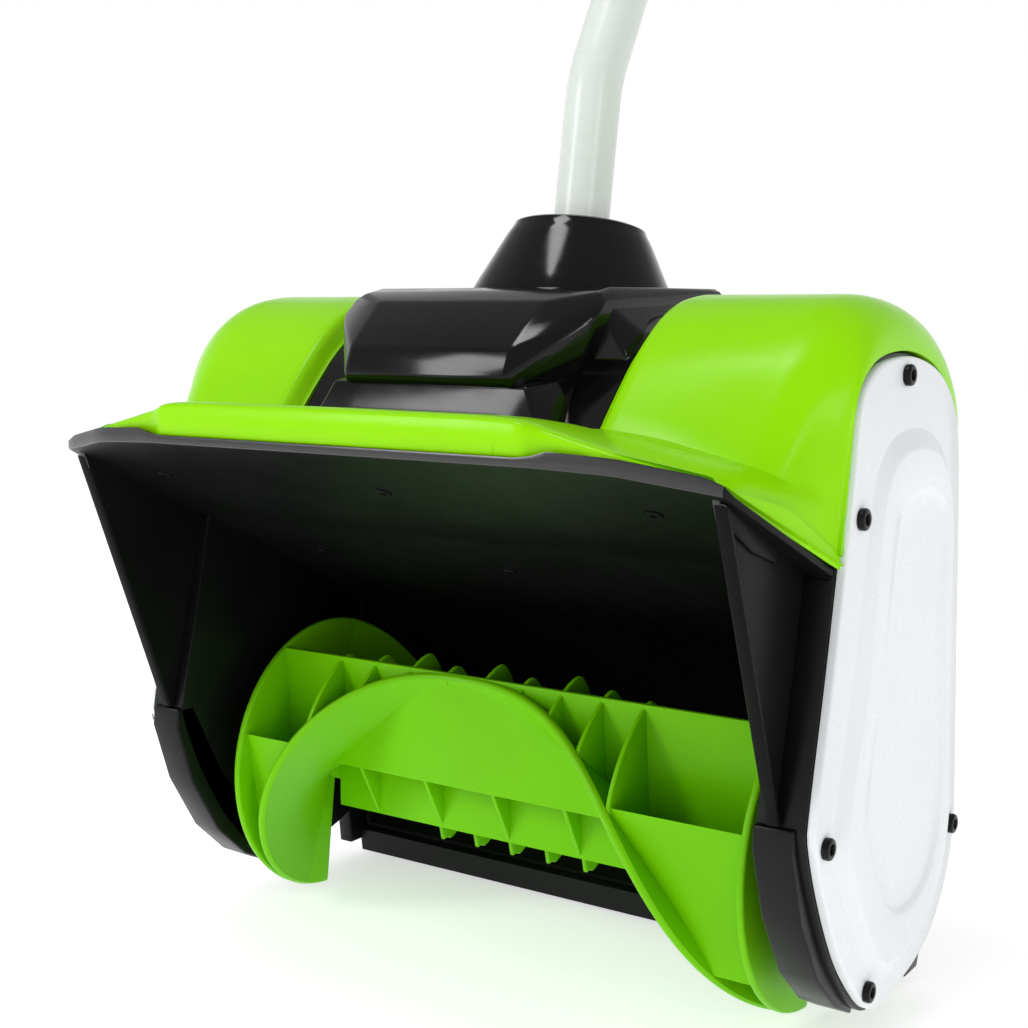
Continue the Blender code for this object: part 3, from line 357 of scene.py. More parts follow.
def offset(points, distance):
    """A closed outline grown by a distance, or shrunk if it is negative."""
    moved = []
    count = len(points)
    for i in range(count):
        a, b, c = (Vector(points[(i + k) % count]) for k in (-1, 0, 1))
        first, second = (b - a).normalized(), (c - b).normalized()
        n1, n2 = Vector((first.y, -first.x)), Vector((second.y, -second.x))
        moved.append(tuple(b + (n1 + n2) / max(1.0 + n1.dot(n2), 0.35) * distance))
    return moved


def applied(objects, angle):
    """The first object's mesh with its modifier applied; all the objects are removed."""
    depsgraph = bpy.context.evaluated_depsgraph_get()
    result = bpy.data.meshes.new_from_object(objects[0].evaluated_get(depsgraph))
    for obj in objects:
        bpy.data.objects.remove(obj, do_unlink=True)
    return shaded(result, angle)


def cut(mesh, cutter):
    """A mesh less the room that the cutter takes."""
    kept, taken = new_object("cut_a", mesh), new_object("cut_b", cutter)
    modifier = kept.modifiers.new("cut", "BOOLEAN")
    modifier.operation, modifier.solver, modifier.object = "DIFFERENCE", "EXACT", taken
    return applied([kept, taken], 35)


def thicken(mesh, thickness, angle=35):
    """A skin given a wall behind it."""
    obj = new_object("thicken", mesh)
    wall = obj.modifiers.new("wall", "SOLIDIFY")
    wall.thickness, wall.offset = thickness, -1
    return applied([obj], angle)


def resample(points, count):
    """Points spread evenly along an open polyline."""
    pts = [Vector(p) for p in points]
    lengths = [0.0]
    for a, b in zip(pts, pts[1:]):
        lengths.append(lengths[-1] + (b - a).length)
    out, k = [], 0
    for i in range(count):
        at = lengths[-1] * i / (count - 1)
        while k < len(pts) - 2 and lengths[k + 1] < at:
            k += 1
        t = (at - lengths[k]) / max(lengths[k + 1] - lengths[k], 1e-9)
        out.append(pts[k].lerp(pts[k + 1], min(max(t, 0), 1)))
    return out


def table(x, rows):
    """Piecewise-linear lookup; rows are (x, value...)."""
    if x <= rows[0][0]:
        return rows[0][1:]
    for a, b in zip(rows, rows[1:]):
        if x <= b[0]:
            t = (x - a[0]) / (b[0] - a[0])
            return tuple(p + (q - p) * t for p, q in zip(a[1:], b[1:]))
    return rows[-1][1:]


def ease(t):
    """A slow start and a slow end between 0 and 1."""
    t = min(max(t, 0.0), 1.0)
    return t * t * (3 - 2 * t)


def mirrored(mesh):
    copy = mesh.copy()
    copy.transform(Matrix.Diagonal((-1, 1, 1, 1)))
    copy.flip_normals()
    return copy


def face_up(mesh):
    """Turn an open skin so that most of it faces up."""
    if sum(p.normal.z * p.area for p in mesh.polygons) < 0:
        mesh.flip_normals()


def one_sided(mesh, sign, keep_plane=0.00015, angle=35):
    """What lies on one side of the middle, closed where it is cut."""
    bm = bmesh.new()
    bm.from_mesh(mesh)
    plane = LEG @ Vector((sign * keep_plane, 0, 0))
    normal = LEG.to_3x3() @ Vector((sign, 0, 0))
    geom = bm.verts[:] + bm.edges[:] + bm.faces[:]
    result = bmesh.ops.bisect_plane(bm, geom=geom, plane_co=plane, plane_no=-normal,
                                    clear_outer=True)
    edges = [g for g in result["geom_cut"] if isinstance(g, bmesh.types.BMEdge)]
    bmesh.ops.holes_fill(bm, edges=edges)
    return finish_mesh(bm, angle)


# ------------------------------ side outlines, (y, z)
COVER_LINE = mm([(-41.5, 29.5), (-28.5, 19.5), (-15, 17.2), (4, 19.5), (22, 23.5), (37, 30.5),
                 (50, 43), (58, 58), (61.2, 74), (60.5, 100), (57.5, 150), (54.5, 200), (50.5, 236),
                 (44, 251), (31, 262), (14, 268.5), (-7, 271.5), (-29, 270), (-41, 265.5),
                 (-48.5, 259), (-53, 248), (-56.5, 228), (-62, 202), (-72, 156), (-83, 110),
                 (-83, 99), (-74, 76), (-59, 49.5)])
COVER_SMOOTH = smooth_outline(COVER_LINE, 5)
BOSS_LINE = mm([(-30, 34), (-10, 27.5), (18, 33), (38, 47), (48.5, 72), (48, 100), (45.5, 150),
                (42.5, 205), (33, 230), (12, 242), (-18, 242), (-35, 231), (-43, 208), (-54, 156),
                (-67, 106), (-64, 84), (-48, 56)])
PANEL_LINE = mm([(27, 65), (36, 95), (34, 150), (31, 200), (24, 215), (2, 220), (-18, 213),
                 (-24, 200), (-33, 156), (-45, 106), (-40, 85), (-18, 56), (8, 53)])
DOME_LINE = mm([(-86.6, 245.5), (-83.5, 249), (-77.5, 256), (-69, 265.5), (-59, 275.5),
                (-44, 286.2), (-27, 292.8), (-5, 295), (20, 292.5), (42, 285.5), (59, 274),
                (70, 260), (74.2, 248), (74.4, 240.5)])


# ------------------------------ green top shell
def shell_rows(x, t):
    """One cross-section of the shell, front edge to rear foot; t rounds the outer end."""
    front = table(x, mm([(0, -150.3), (87.5, -150), (91.5, -147.8), (96, -147.4), (122.7, -145.9),
                         (143, -136.8), (153, -131.8), (166.7, -60)]))[0]
    top = table(x, mm([(0, 253.3), (70, 253.1), (85, 252.2), (95, 249), (122.7, 242), (140, 237),
                       (151.6, 233.5), (160, 221.5), (166.7, 198.5)]))[0]
    low = hood_z(front, SHEET) + 0.0002
    if x < 0.15:
        low += table(x, mm([(0, 0), (92, 0), (98, 3), (150, 2)]))[0]
    crease_y, crease_z = table(x, mm([(0, -91.5, 246.2), (75.5, -88.5, 245.5), (105, -86, 242),
                                      (142, -85, 233.5), (151, -82, 230), (160, -73.5, 224.5),
                                      (166.7, -58.8, 215)]))
    height = top - low
    rim = min(0.002, height * 0.4)
    rows = [(front + 0.0025, low + 0.0001), (front + 0.0004, low),
            (front, low + min(0.0006, height * 0.1)), (front + 0.0002, top - rim),
            (front + 0.001, top - rim * 0.42), (front + 0.0026, top - rim * 0.08),
            (front + 0.0048, top)]
    back_y, back_z = crease_y - 0.01, crease_z + 0.0008
    if back_y < front + 0.006:
        back_y = front + (crease_y - front) * 0.5
        back_z = top + (crease_z - top) * 0.4
    for k in (0.33, 0.66, 1.0):
        rows.append((front + 0.0048 + (back_y - front - 0.0048) * k,
                     top + (back_z - top) * k + 0.0012 * sin(pi * k) * (1 - t)))
    return rows, (crease_y, crease_z)


def cover_edge(count, front_foot=0.2, rear_foot=0.2385):
    """Edge of the side cover's opening, from its front foot over the top to the rear foot."""
    line = offset(COVER_SMOOTH, 0.0021)
    best = max(range(len(line)), key=lambda i: line[i][1])
    front = [line[(best + k) % len(line)] for k in range(len(line) // 2)]
    rear = [line[(best - k) % len(line)] for k in range(len(line) // 2)]
    front = [p for p in front if p[1] >= front_foot]
    rear = [p for p in rear if p[1] >= rear_foot]
    return resample([(u, v, 0) for u, v in front[::-1] + rear[1:]], count)


DOME_POINTS, EDGE_LEAD = 44, 4      # points over the dome; points of the edge ahead of them


def top_shell():
    """Domes left and right, the lip in front of them and the strip under the centre cover."""
    dome = resample(smooth_path([(u, v, 0) for u, v in DOME_LINE], 8), DOME_POINTS)
    xs = [x / 1000 for x in (75.7, 76.2, 77.5, 79.5, 81.5, 83.5, 86, 88, 90, 93, 96, 100, 108, 115,
                             122.7, 130, 137, 142)]
    outer = 16                                         # sections round the outer end
    base_x, end_x = 0.142, SHELL_SIDE - 0.0002
    edge = cover_edge(DOME_POINTS + 8)
    goal = resample([(e.x, e.y, 0) for e in edge], DOME_POINTS + EDGE_LEAD)
    sections = []
    for x in xs:
        rows, (cy, cz) = shell_rows(x, 0)
        inner = 0.0072 * (1 - ease((x - 0.0757) / 0.0078)) ** 1.5
        ring = [Vector((x, y, z)) for y, z in rows]
        ring += dome_rows(dome, x, cy, cz, inner)
        sections.append(ring)
    for k in range(1, outer + 1):
        t = k / outer
        theta = t * pi / 2
        blend = 1 - cos(theta)
        x_top = base_x + (end_x - base_x) * sin(theta)
        x_low = base_x + (end_x - base_x) * t
        rows, (cy, cz) = shell_rows(x_low, t)
        low_points = [Vector((x_low, y, z)) for y, z in rows]
        joined = low_points + dome_rows(dome, x_low, cy, cz, 0.0)
        ring = []
        for i, p in enumerate(joined):
            j = i - len(low_points) + EDGE_LEAD
            if j < 0:
                ring.append(p)
                continue
            share = ease(j / 14)
            b = blend if share > 0.99 else blend * share + t ** 3 * (1 - share)
            if t == 1:
                b = 1
            ring.append(Vector((x_low + (x_top - x_low) * share,
                                p.y + (goal[j].x - p.y) * b, p.z + (goal[j].y - p.z) * b)))
        sections.append(ring)
    half = loft(sections, cyclic=False)
    half.transform(MOVE)
    middle = []
    for k in range(-8, 9):
        x = 0.076 * k / 8
        rows, _ = shell_rows(abs(x), 0)
        middle.append([MOVE @ Vector((x, y, z)) for y, z in rows]
                      + [MOVE @ Vector((x, -0.0905, 0.2455))])
    strip = loft(middle, cyclic=False)
    for mesh in (half, strip):
        face_up(mesh)
    shell = join([thicken(m, 0.0022, 40) for m in (half, mirrored(half), strip)], 40)
    piece("top_shell_moulding", shell, GREEN, "machine", ["top_shell"])


def dome_rows(dome, x, crease_y, crease_z, inset):
    """The dome's section at x, bent to start at the crease and sunk by the inset."""
    out = []
    count = len(dome)
    for i, p in enumerate(dome):
        v = i / (count - 1)
        fade = max(0.0, 1 - v / 0.38) ** 1.6
        y = p.x + (crease_y - dome[0].x) * fade
        z = p.y + (crease_z - dome[0].y) * fade
        a = dome[max(i - 1, 0)]
        b = dome[min(i + 1, count - 1)]
        t = (b - a).normalized()
        normal = Vector((-t.y, t.x))
        if i == 0:
            z += 0.0006
        out.append(Vector((x, y - normal.x * inset, z - normal.y * inset)))
    return out


top_shell()


# ------------------------------ black hood, chamber and wings
HOOD_WIDE, CHAMBER_WIDE = 0.157, 0.1462       # half widths


def hood_sheet():
    """The sloping sheet under the lip, thicker along its front edge."""
    rings = []
    for i in range(49):
        u = -1 + i / 24
        x = abs(u) * HOOD_WIDE
        front = table(x, mm([(0, -151.4), (92.2, -151.4), (122.7, -149), (157, -137)]))[0]
        thick = table(x, mm([(0, 3), (90, 3), (96, 5.6), (150, 5.2), (157, 3.6)]))[0]
        ring = []
        stations = [front, front + 0.002, -0.13 if front < -0.135 else front + 0.006, -0.11,
                    -0.09, -0.0655]
        places = [(y, HOOD_WIDE + max(0.0, 0.008 * (y + 0.137) / 0.0715)) for y in stations]
        for y, w in places:
            ring.append(MOVE @ Vector((u * w, y, hood_z(y))))
        for y, w in reversed(places):
            t = thick if y < front + 0.004 else 0.0028
            ring.append(MOVE @ Vector((u * w, y, hood_z(y) + t * 1.08)))
        rings.append(ring)
    bm = bmesh.new()
    bm.from_mesh(loft(rings))
    round_edges(bm, 0.0006, 2, 50)
    return finish_mesh(bm)


def chamber():
    """The curved wall behind the auger, with a narrow cheek at each end."""
    start = pi / 2 - HOOD_TILT
    end = -atan2(sqrt(CHAMBER_R ** 2 - 0.046 ** 2), 0.046)
    steps = 48
    arc = [(CHAMBER_R * cos(start + (end - start) * k / steps),
            CHAMBER_Z + CHAMBER_R * sin(start + (end - start) * k / steps))
           for k in range(steps + 1)]
    arc_out = [(y * (CHAMBER_R + SHEET) / CHAMBER_R,
                CHAMBER_Z + (z - CHAMBER_Z) * (CHAMBER_R + SHEET) / CHAMBER_R) for y, z in arc]
    line = [(-0.072, hood_z(-0.072))] + arc + arc_out[::-1]
    line += [(-0.072, hood_z(-0.072, SHEET))]
    cheek = [p for p in arc if p[0] > 0.04]
    return [prism(line, -CHAMBER_WIDE, CHAMBER_WIDE)] + [
        prism(cheek, *span(sign, CHAMBER_WIDE - 0.0025, CHAMBER_WIDE)) for sign in (-1, 1)]


def hood():
    """Hood and chamber with a wing, its front strip and its web on each side."""
    meshes = [hood_sheet()] + chamber()
    wing = [(-0.133, 0.226), (-0.131, 0.221), (-0.088, 0.1064), (-0.0853, 0.1064),
             (-0.0851, 0.111), (-0.0743, 0.156), (-0.0662, 0.1925),
             (-0.0662, hood_z(-0.0662, 0.0012)), (-0.1345, hood_z(-0.1345, 0.0012))]
    strip = mm([(-133.5, 227), (-88.2, 106.2), (-85.6, 106.6), (-130, 225.2)])
    web = mm([(-130, 219), (-111, 208), (-93, 202), (-93, 208.2), (-129, 225.8)])
    for sign in (-1, 1):
        meshes.append(prism(wing, *span(sign, 0.151, 0.154), round_by=0.0007))
        meshes.append(prism(strip, *span(sign, 0.1512, 0.1562), round_by=0.0008))
        meshes.append(prism(web, *span(sign, 0.153, 0.1556), round_by=0.0006))
    for x, y in ((-0.12, -0.116), (0.0, -0.116), (0.12, -0.116), (0.0, -0.0294),
                 (-0.108, -0.0294), (0.108, -0.0294)):
        seat = (MOVE @ Matrix.Translation((x, y, hood_z(y)))
                @ Matrix.Rotation(-HOOD_TILT, 4, "X"))
        meshes.append(bar(0.0034, -0.001, 0.001, seat, 32, 0.0005, 0.0014))
    shell = join(meshes)
    # The hood's forward-facing edge faces take the lighter black, a painted highlight along the
    # lip.
    for face in shell.polygons:
        if face.normal.y < -0.6 and face.center.z > 0.215 and face.center.y < AXIS_Y - 0.13:
            face.material_index = 1
    piece("hood_and_chamber", shell, (BLACK_HOOD, PAINTED_LIP_HIGHLIGHT), "machine", ["head_shell"])


hood()


# ------------------------------ side plates and covers
def rays(outline, centre_at, count):
    """Where rays from a centre cross an outline; they stand closer towards its top and foot."""
    out = []
    cy, cz = centre_at
    edges = list(zip(outline, outline[1:] + outline[:1]))
    for k in range(count):
        a = 2 * pi * k / count
        a += 0.3 * sin(2 * a)
        dy, dz = cos(a), sin(a)
        best = 0
        for (y0, z0), (y1, z1) in edges:
            ey, ez = y1 - y0, z1 - z0
            det = ey * dz - ez * dy
            if abs(det) < 1e-12:
                continue
            along = ((y0 - cy) * -dz + (z0 - cz) * dy) / det
            reach = (ey * (z0 - cz) * -1 + ez * (y0 - cy)) / -det
            if -1e-6 <= along <= 1 + 1e-6 and reach > best:
                best = reach
        out.append((cy + dy * best, cz + dz * best))
    return out


MIDDLE = (-0.006, 0.142)
COVER_SCREWS = mm([(-11, 264.5), (-52, 214), (-76.5, 98), (-34, 29), (54.5, 72)])


def shrink(line, by):
    """An outline drawn in towards the cover's middle."""
    out = []
    for y, z in line:
        d = Vector((y - MIDDLE[0], z - MIDDLE[1]))
        out.append((y - d.x / d.length * by, z - d.y / d.length * by))
    return out


def side_cover(side, sign):
    """A rounded lid with a raised boss and a shallow panel sunk into it."""
    count = 220
    whole = rays(COVER_SMOOTH, MIDDLE, count)
    boss = rays(smooth_outline(BOSS_LINE, 6), MIDDLE, count)
    panel = rays(smooth_outline(PANEL_LINE, 6), MIDDLE, count)
    foot, face, crown = PLATE_OUT + 0.0003, COVER_FLAT, COVER_FACE
    steps = [(whole, foot), (whole, face - 0.0012), (shrink(whole, 0.0004), face - 0.0004),
             (shrink(whole, 0.0013), face), (shrink(boss, -0.0008), face),
             (shrink(boss, -0.0002), face + 0.0001), (shrink(boss, 0.0004), face + 0.0005),
             (shrink(boss, 0.0064), crown - 0.0005), (shrink(boss, 0.0071), crown - 0.0001),
             (shrink(boss, 0.008), crown), (shrink(panel, -0.0008), crown),
             (shrink(panel, -0.0001), crown - 0.0002), (shrink(panel, 0.002), crown - 0.0016),
             (shrink(panel, 0.0028), crown - 0.0018), (shrink(panel, 0.012), crown - 0.0018)]
    rings = [[MOVE @ Vector((sign * x, y, z)) for y, z in line] for line, x in steps]
    piece("side_cover_lid_" + side, loft(rings, angle=50), WHITE, "machine",
          ["side_cover_" + side])


def side_plate(side, sign):
    """A tray behind the cover, with a toe in front and a foot behind."""
    far = 0.2
    rim = offset(COVER_SMOOTH, 0.0014)
    body = prism(rim, *span(sign, PLATE_IN, PLATE_OUT), round_by=0.0006, segments=2, angle=60)
    room = span(sign, PLATE_IN + 0.003, far)
    body = cut(body, prism(offset(COVER_SMOOTH, -0.003), *room))
    toe = mm([(-88, 106), (-89, 97), (-80, 69), (-64, 42), (-46, 25), (-30, 16.5), (-30, 33),
              (-60, 70), (-78, 106)])
    block_toe = prism(toe, *span(sign, PLATE_IN, PLATE_OUT - 0.003), round_by=0.001)
    block_toe = cut(block_toe, prism(offset(COVER_SMOOTH, -0.001), *room))
    bore = bar(0.0113, 0.1, far, MOVE @ Matrix.Translation((0, 0, AXIS_Z))
               @ Matrix.Diagonal((sign, 1, 1, 1)) @ ALONG_X, 48, 0.0)
    meshes = [cut(body, bore), block_toe]
    column = mm([(-73.5, 107.5), (-60, 107.5), (-56, 194), (-65.5, 194)])
    meshes.append(prism(column, *span(sign, PLATE_IN + 0.0002, PLATE_OUT - 0.0006),
                        round_by=0.0012))
    for y, z in COVER_SCREWS:
        at = MOVE @ Matrix.Translation((0, y, z)) @ ALONG_X
        low, high = span(sign, PLATE_IN + 0.002, PLATE_OUT - 0.0004)
        meshes.append(bar(0.0048, low, high, at, 24, 0.0, 0.0022))
    foot = mm([(38, 6), (52, 6), (60, 24), (64, 56), (56, 56), (46, 33), (36, 24)])
    meshes.append(prism(foot, *span(sign, 0.15, 0.158), round_by=0.001))
    piece("side_tray_" + side, join(meshes), BLACK, "machine", ["side_plate_" + side])


def screw_head(y, z, sign):
    """Black hexagon-socket screw with a rounded rim."""
    at = MOVE @ Matrix.Translation((0, y, z)) @ (ALONG_X if sign > 0 else AGAINST_X)
    base = COVER_FLAT + 0.0003
    return turned([(0, 0.157), (0.0018, 0.157), (0.0018, base), (0.0041, base),
                   (0.0042, base + 0.0016), (0.0039, base + 0.0023), (0.0034, base + 0.0026),
                   (0.0024, base + 0.0026), (0.0021, base + 0.0022), (0.002, base + 0.001),
                   (0, base + 0.001)], at, 30)


for side, sign in SIDES:
    side_plate(side, sign)
    side_cover(side, sign)
    for i, (y, z) in enumerate(COVER_SCREWS):
        piece(f"cover_screw_head_{side}_{i + 1}", screw_head(y, z, sign), DARK_STEEL, "machine",
              [f"cover_screw_{side}_{i + 1}"])


# ------------------------------ centre cover
def hull(points, round_by, segments=4, angle=12):
    """The convex block through points of the right side and their mirror images."""
    bm = bmesh.new()
    for sign in (-1, 1):
        for x, y, z in points:
            bm.verts.new((sign * x, y, z))
    bmesh.ops.convex_hull(bm, input=bm.verts)
    loose = [v for v in bm.verts if not v.link_faces]
    bmesh.ops.delete(bm, geom=loose, context="VERTS")
    bmesh.ops.dissolve_limit(bm, angle_limit=radians(2), verts=bm.verts, edges=bm.edges)
    bmesh.ops.recalc_face_normals(bm, faces=bm.faces)
    round_edges(bm, round_by, segments, angle)
    bmesh.ops.transform(bm, matrix=MOVE, verts=bm.verts)
    return finish_mesh(bm, 40)


def centre_cover():
    """A skin that follows the dome, with a hump, shoulders and a lower nose on it."""
    dome = resample(smooth_path([(u, v, 0) for u, v in DOME_LINE], 8), 40)
    rings = []
    for x in (-0.0752, -0.0748, -0.06, -0.03, 0.0, 0.03, 0.06, 0.0748, 0.0752):
        inset = 0.0078 if abs(x) > 0.075 else 0.0068
        rows = dome_rows(dome, x, dome[0].x, dome[0].y, inset)
        rings.append([MOVE @ r for r in rows])
    base = loft(rings, cyclic=False)
    face_up(base)
    base = thicken(base, 0.0022)
    hump = hull(mm([(40, -91.8, 262.5), (42, -86, 257), (48, -80, 274), (64, -64, 286),
                    (63, -56, 293.5), (59, -54, 296), (59, -44, 298), (59, 48, 298), (64, 58, 286),
                    (64, 70, 260), (50, -60, 250), (40, -78, 283), (42, -66, 292.5),
                    (40, -87, 274)]), 0.003, 4, 14)
    shoulder = hull(mm([(60, -54, 293), (60, 50, 295.5), (73.8, -43, 279), (73.8, -56, 268),
                        (73.8, 43, 276), (70, 73.5, 248), (60, -56, 270), (50, 60, 250)]),
                    0.0025, 4)
    lower = hull(mm([(56, -92.5, 245), (48, -88.5, 260), (54, -60, 264), (62, -60, 245)]),
                 0.0015, 3)
    pocket = prism(mm([(-37, 244), (37, 244), (33, 259), (-33, 259)]),
                   -0.1, -0.086, MOVE @ FRONT_VIEW, side_view=False)
    shell = join([base, hump, shoulder, cut(lower, pocket)], 40)
    piece("motor_bay_cover", shell, BLACK_GLOSS, "machine", ["centre_cover"])


centre_cover()


# ------------------------------ pole, boot and coupler
def leg(x, y, s):
    """A point given across the pole and along its upper part."""
    return LEG @ Vector((x, y, s))


def lower_pole_path():
    """From inside the head through the bend to the coupler."""
    turn, count = UPPER_LEAN - LOWER_LEAN, 16
    trim = BEND_R * sin(turn / 2) / cos(turn / 2)
    chord = 2 * BEND_R * sin(turn / count / 2)
    start = BOOT @ Vector((0, 0, -0.148))
    at = MOVE @ Vector((0, BEND_Y - trim * sin(LOWER_LEAN), BEND_Z - trim * cos(LOWER_LEAN)))
    path = [start, start.lerp(at, 0.5), at]
    for i in range(count):
        middle = LOWER_LEAN + turn * (i + 0.5) / count
        at = at + Vector((0, sin(middle), cos(middle))) * chord
        path.append(at)
    return path + [leg(0, 0, 0.15), leg(0, 0, 0.298)]


def pole():
    path = lower_pole_path()
    piece("pole_lower", tube(path, TUBE_R, 48), POLE, "machine", ["lower_tube"])
    upper = [leg(0, 0, s) for s in (0.302, 0.4, 0.5, 0.61)]
    piece("pole_upper", tube(upper, TUBE_R, 48), POLE, "machine", ["upper_tube"])
    profile = [(TUBE_R + 0.0003, -0.05), (0.052, -0.05), (0.0468, -0.035),
               (0.044, -0.029), (0.0405, -0.0222), (0.0335, -0.0082), (0.0318, -0.0052),
               (0.0306, -0.0034), (0.0296, -0.0012), (0.028, -0.0004), (0.0262, 0.0),
               (TUBE_R + 0.0016, -0.0002), (TUBE_R + 0.0003, -0.0012)]
    boot = turned(profile, BOOT, 96)
    boot = cut(boot, block((-0.1, -0.1, 0.1), (0.1, 0.2, 0.295)))
    piece("pole_boot_cone", boot, BLACK_GLOSS, "machine", ["pole_boot"])
    profile = [(TUBE_R + 0.0003, 0.255), (0.0152, 0.255), (0.0163, 0.256), (0.0192, 0.2622),
               (0.0197, 0.264)]
    for k in range(7):
        s = 0.268 + 0.01 * k
        profile += [(0.0197, s), (0.019, s + 0.0008), (0.019, s + 0.0024), (0.0197, s + 0.0032)]
    profile += [(0.0197, 0.337), (0.0192, 0.3388), (0.0163, 0.344), (0.0152, 0.345),
                (TUBE_R + 0.0003, 0.345)]
    ear = block((0.013, -0.012, 0.304), (0.027, 0.012, 0.33), LEG, 0.002)
    piece("coupler_sleeve", join([turned(profile, LEG, 64), ear]), BLACK, "machine",
          ["coupler"])
    across = LEG @ Matrix.Translation((0, 0, 0.317)) @ ALONG_X
    piece("coupler_hand_knob", knob(across, 0.0275, 0.016), BLACK, "coupler_knob",
          ["coupler_knob"])


def knob(frame_at, low, radius):
    """Lobed hand knob with a domed face and a raised centre."""
    rings = []
    profile = [(0.72, 0.0), (0.94, 0.0002), (1.0, 0.0014), (1.0, 0.011), (0.97, 0.0132),
               (0.9, 0.0146), (0.78, 0.015), (0.55, 0.0146), (0.5, 0.014), (0.3, 0.014)]
    count = 96
    for scale, height in profile:
        ring = []
        for k in range(count):
            a = 2 * pi * k / count
            lobes = max(0.0, cos(6 * a)) ** 1.5 * 0.0034 * min(1.0, max(0, scale - 0.5) * 3)
            r = radius * scale - lobes
            ring.append(frame_at @ Vector((r * cos(a), r * sin(a), low + height)))
        rings.append(ring)
    return loft(rings)


pole()


# ------------------------------ front handle
AUX, PIVOT_DEPTH = 0.42, -0.0325
PIVOT = LEG @ Matrix.Translation((0, PIVOT_DEPTH, AUX)) @ ALONG_X


def front_handle():
    half = [(0.015, PIVOT_DEPTH, AUX), (0.015, -0.05, AUX + 0.005),
            (0.032, -0.066, AUX + 0.01), (0.049, -0.078, AUX + 0.014),
            (0.059, -0.092, AUX + 0.019), (0.06, -0.106, AUX + 0.023),
            (0.051, -0.1185, AUX + 0.0268), (0.037, -0.1245, AUX + 0.0285)]
    line = [leg(-x, y, s) for x, y, s in half] + [leg(x, y, s) for x, y, s in half[::-1]]
    line = smooth_path(line, 6)
    meshes = [tube(line, 0.0064, 28)]
    for sign in (-1, 1):
        meshes.append(bar(0.011, *span(sign, 0.0085, 0.0215), PIVOT, 48, 0.0012, 0.0033))
    piece("front_loop", join(meshes), BLACK, "aux_handle", ["aux_handle"])
    grip_at = Matrix.Translation(leg(0, -0.1245, AUX + 0.0285)) @ LEG.to_3x3().to_4x4() @ ALONG_X
    profile = [(0.0079, -0.034), (0.0112, -0.034), (0.0124, -0.033)]
    for k in range(13):
        z = -0.0312 + 0.005 * k
        profile += [(0.0125, z - 0.0014), (0.0125, z + 0.0012), (0.0119, z + 0.0018),
                    (0.0119, z + 0.0026), (0.0125, z + 0.0032)]
    profile += [(0.0124, 0.033), (0.0112, 0.034), (0.0079, 0.034)]
    piece("front_loop_sleeve", turned(profile, grip_at, 56), FOAM, "aux_handle", ["aux_grip"])
    for name, low, high in (("front", -0.0195, -0.00015), ("rear", 0.00015, 0.0175)):
        clamp = block((-0.021, low, AUX - 0.017), (0.021, high, AUX + 0.017), LEG, 0.003, 4)
        clamp = cut(clamp, bar(TUBE_R + 0.0003, AUX - 0.05, AUX + 0.05, LEG, 48, 0.0))
        meshes = [clamp]
        if name == "front":
            meshes.append(block((-0.008, -0.043, AUX - 0.011), (0.008, -0.015, AUX + 0.011),
                                LEG, 0.003, 4))
        else:
            for x in (-0.0168, 0.0168):
                at = (LEG @ Matrix.Translation((x, 0.0175, AUX))
                      @ Matrix.Rotation(radians(-90), 4, "X"))
                meshes.append(bar(0.003, -0.001, 0.001, at, 24, 0.0004, 0.0012))
        piece("loop_clamp_" + name, join(meshes), BLACK, "machine", ["aux_clamp_" + name])
    piece("loop_hand_knob", knob(PIVOT, 0.022, 0.0135), BLACK, "aux_knob", ["aux_knob"])


front_handle()


# ------------------------------ rear handle and battery
HANDLE_LINE = mm([(-19, 560), (19, 560), (21.5, 585), (40, 598), (54, 615), (58.5, 635),
                  (58.5, 715), (56, 738), (47, 756), (47, 778), (-31, 778), (-31, 762), (-25, 740),
                  (-19.5, 720), (-18.5, 640), (-21, 600)])
WINDOW_LINE = mm([(21.5, 618), (38, 624), (47, 638), (47.5, 712), (42, 729), (16.5, 737),
                  (15.5, 628)])
LOCK = LEG @ Matrix.Translation((0, -0.01, 0.748)) @ ALONG_X
GRIP_X = 0.0172                     # half the grip's width
BAY_X, BAY_FLOOR, BAY_TOP = 0.036, 0.759, 0.842
BAY_LOW, BAY_HIGH = (-0.0324, -0.0277), (0.0324, 0.0437)      # the bay's inside, across the pole


def handle_half(side, sign):
    """Half of the grip with its window, and half of the battery bay above it."""
    body = prism(smooth_outline(HANDLE_LINE, 3), -GRIP_X, GRIP_X, LEG, 0.0055, 5, 50)
    body = cut(body, prism(smooth_outline(WINDOW_LINE, 4), -0.05, 0.05, LEG))
    bay = block((-BAY_X, -0.032, BAY_FLOOR), (BAY_X, 0.048, BAY_TOP), LEG, 0.004, 4)
    for low, high in (((*BAY_LOW, 0.785), (*BAY_HIGH, 0.9)),
                      ((-0.013, -0.004, 0.772), (0.013, 0.02, 0.8))):
        bay = cut(bay, block(low, high, LEG))
    body = cut(body, block((*BAY_LOW, 0.77), (*BAY_HIGH, 0.9), LEG))
    body = cut(body, block((-0.0075, -0.015, 0.65), (0.0075, 0.03, 0.728), LEG))
    meshes = []
    for mesh in (body, bay):
        meshes.append(one_sided(cut(mesh, bar(0.0059, -0.05, 0.05, LOCK, 32, 0.0)), sign))
    for w, s in ((0.05, 0.63), (-0.013, 0.625), (0.048, 0.74), (-0.015, 0.732)):
        at = (LEG @ Matrix.Translation((sign * (GRIP_X - 0.0001), w, s))
              @ (ALONG_X if sign > 0 else AGAINST_X))
        meshes.append(bar(0.0036, -0.001, 0.0003, at, 28, 0.0002, 0.0026))
    for k in range(4):
        s = 0.797 + 0.0085 * k
        at = LEG @ Matrix.Translation((sign * (BAY_X + 0.0001), 0.0, 0))
        meshes.append(block((-0.0006, -0.02, s), (0.0004, 0.036, s + 0.0036), at, 0.0003, 1))
    piece("handle_shell_" + side, join(meshes), GREEN, "machine", ["handle_half_" + side])


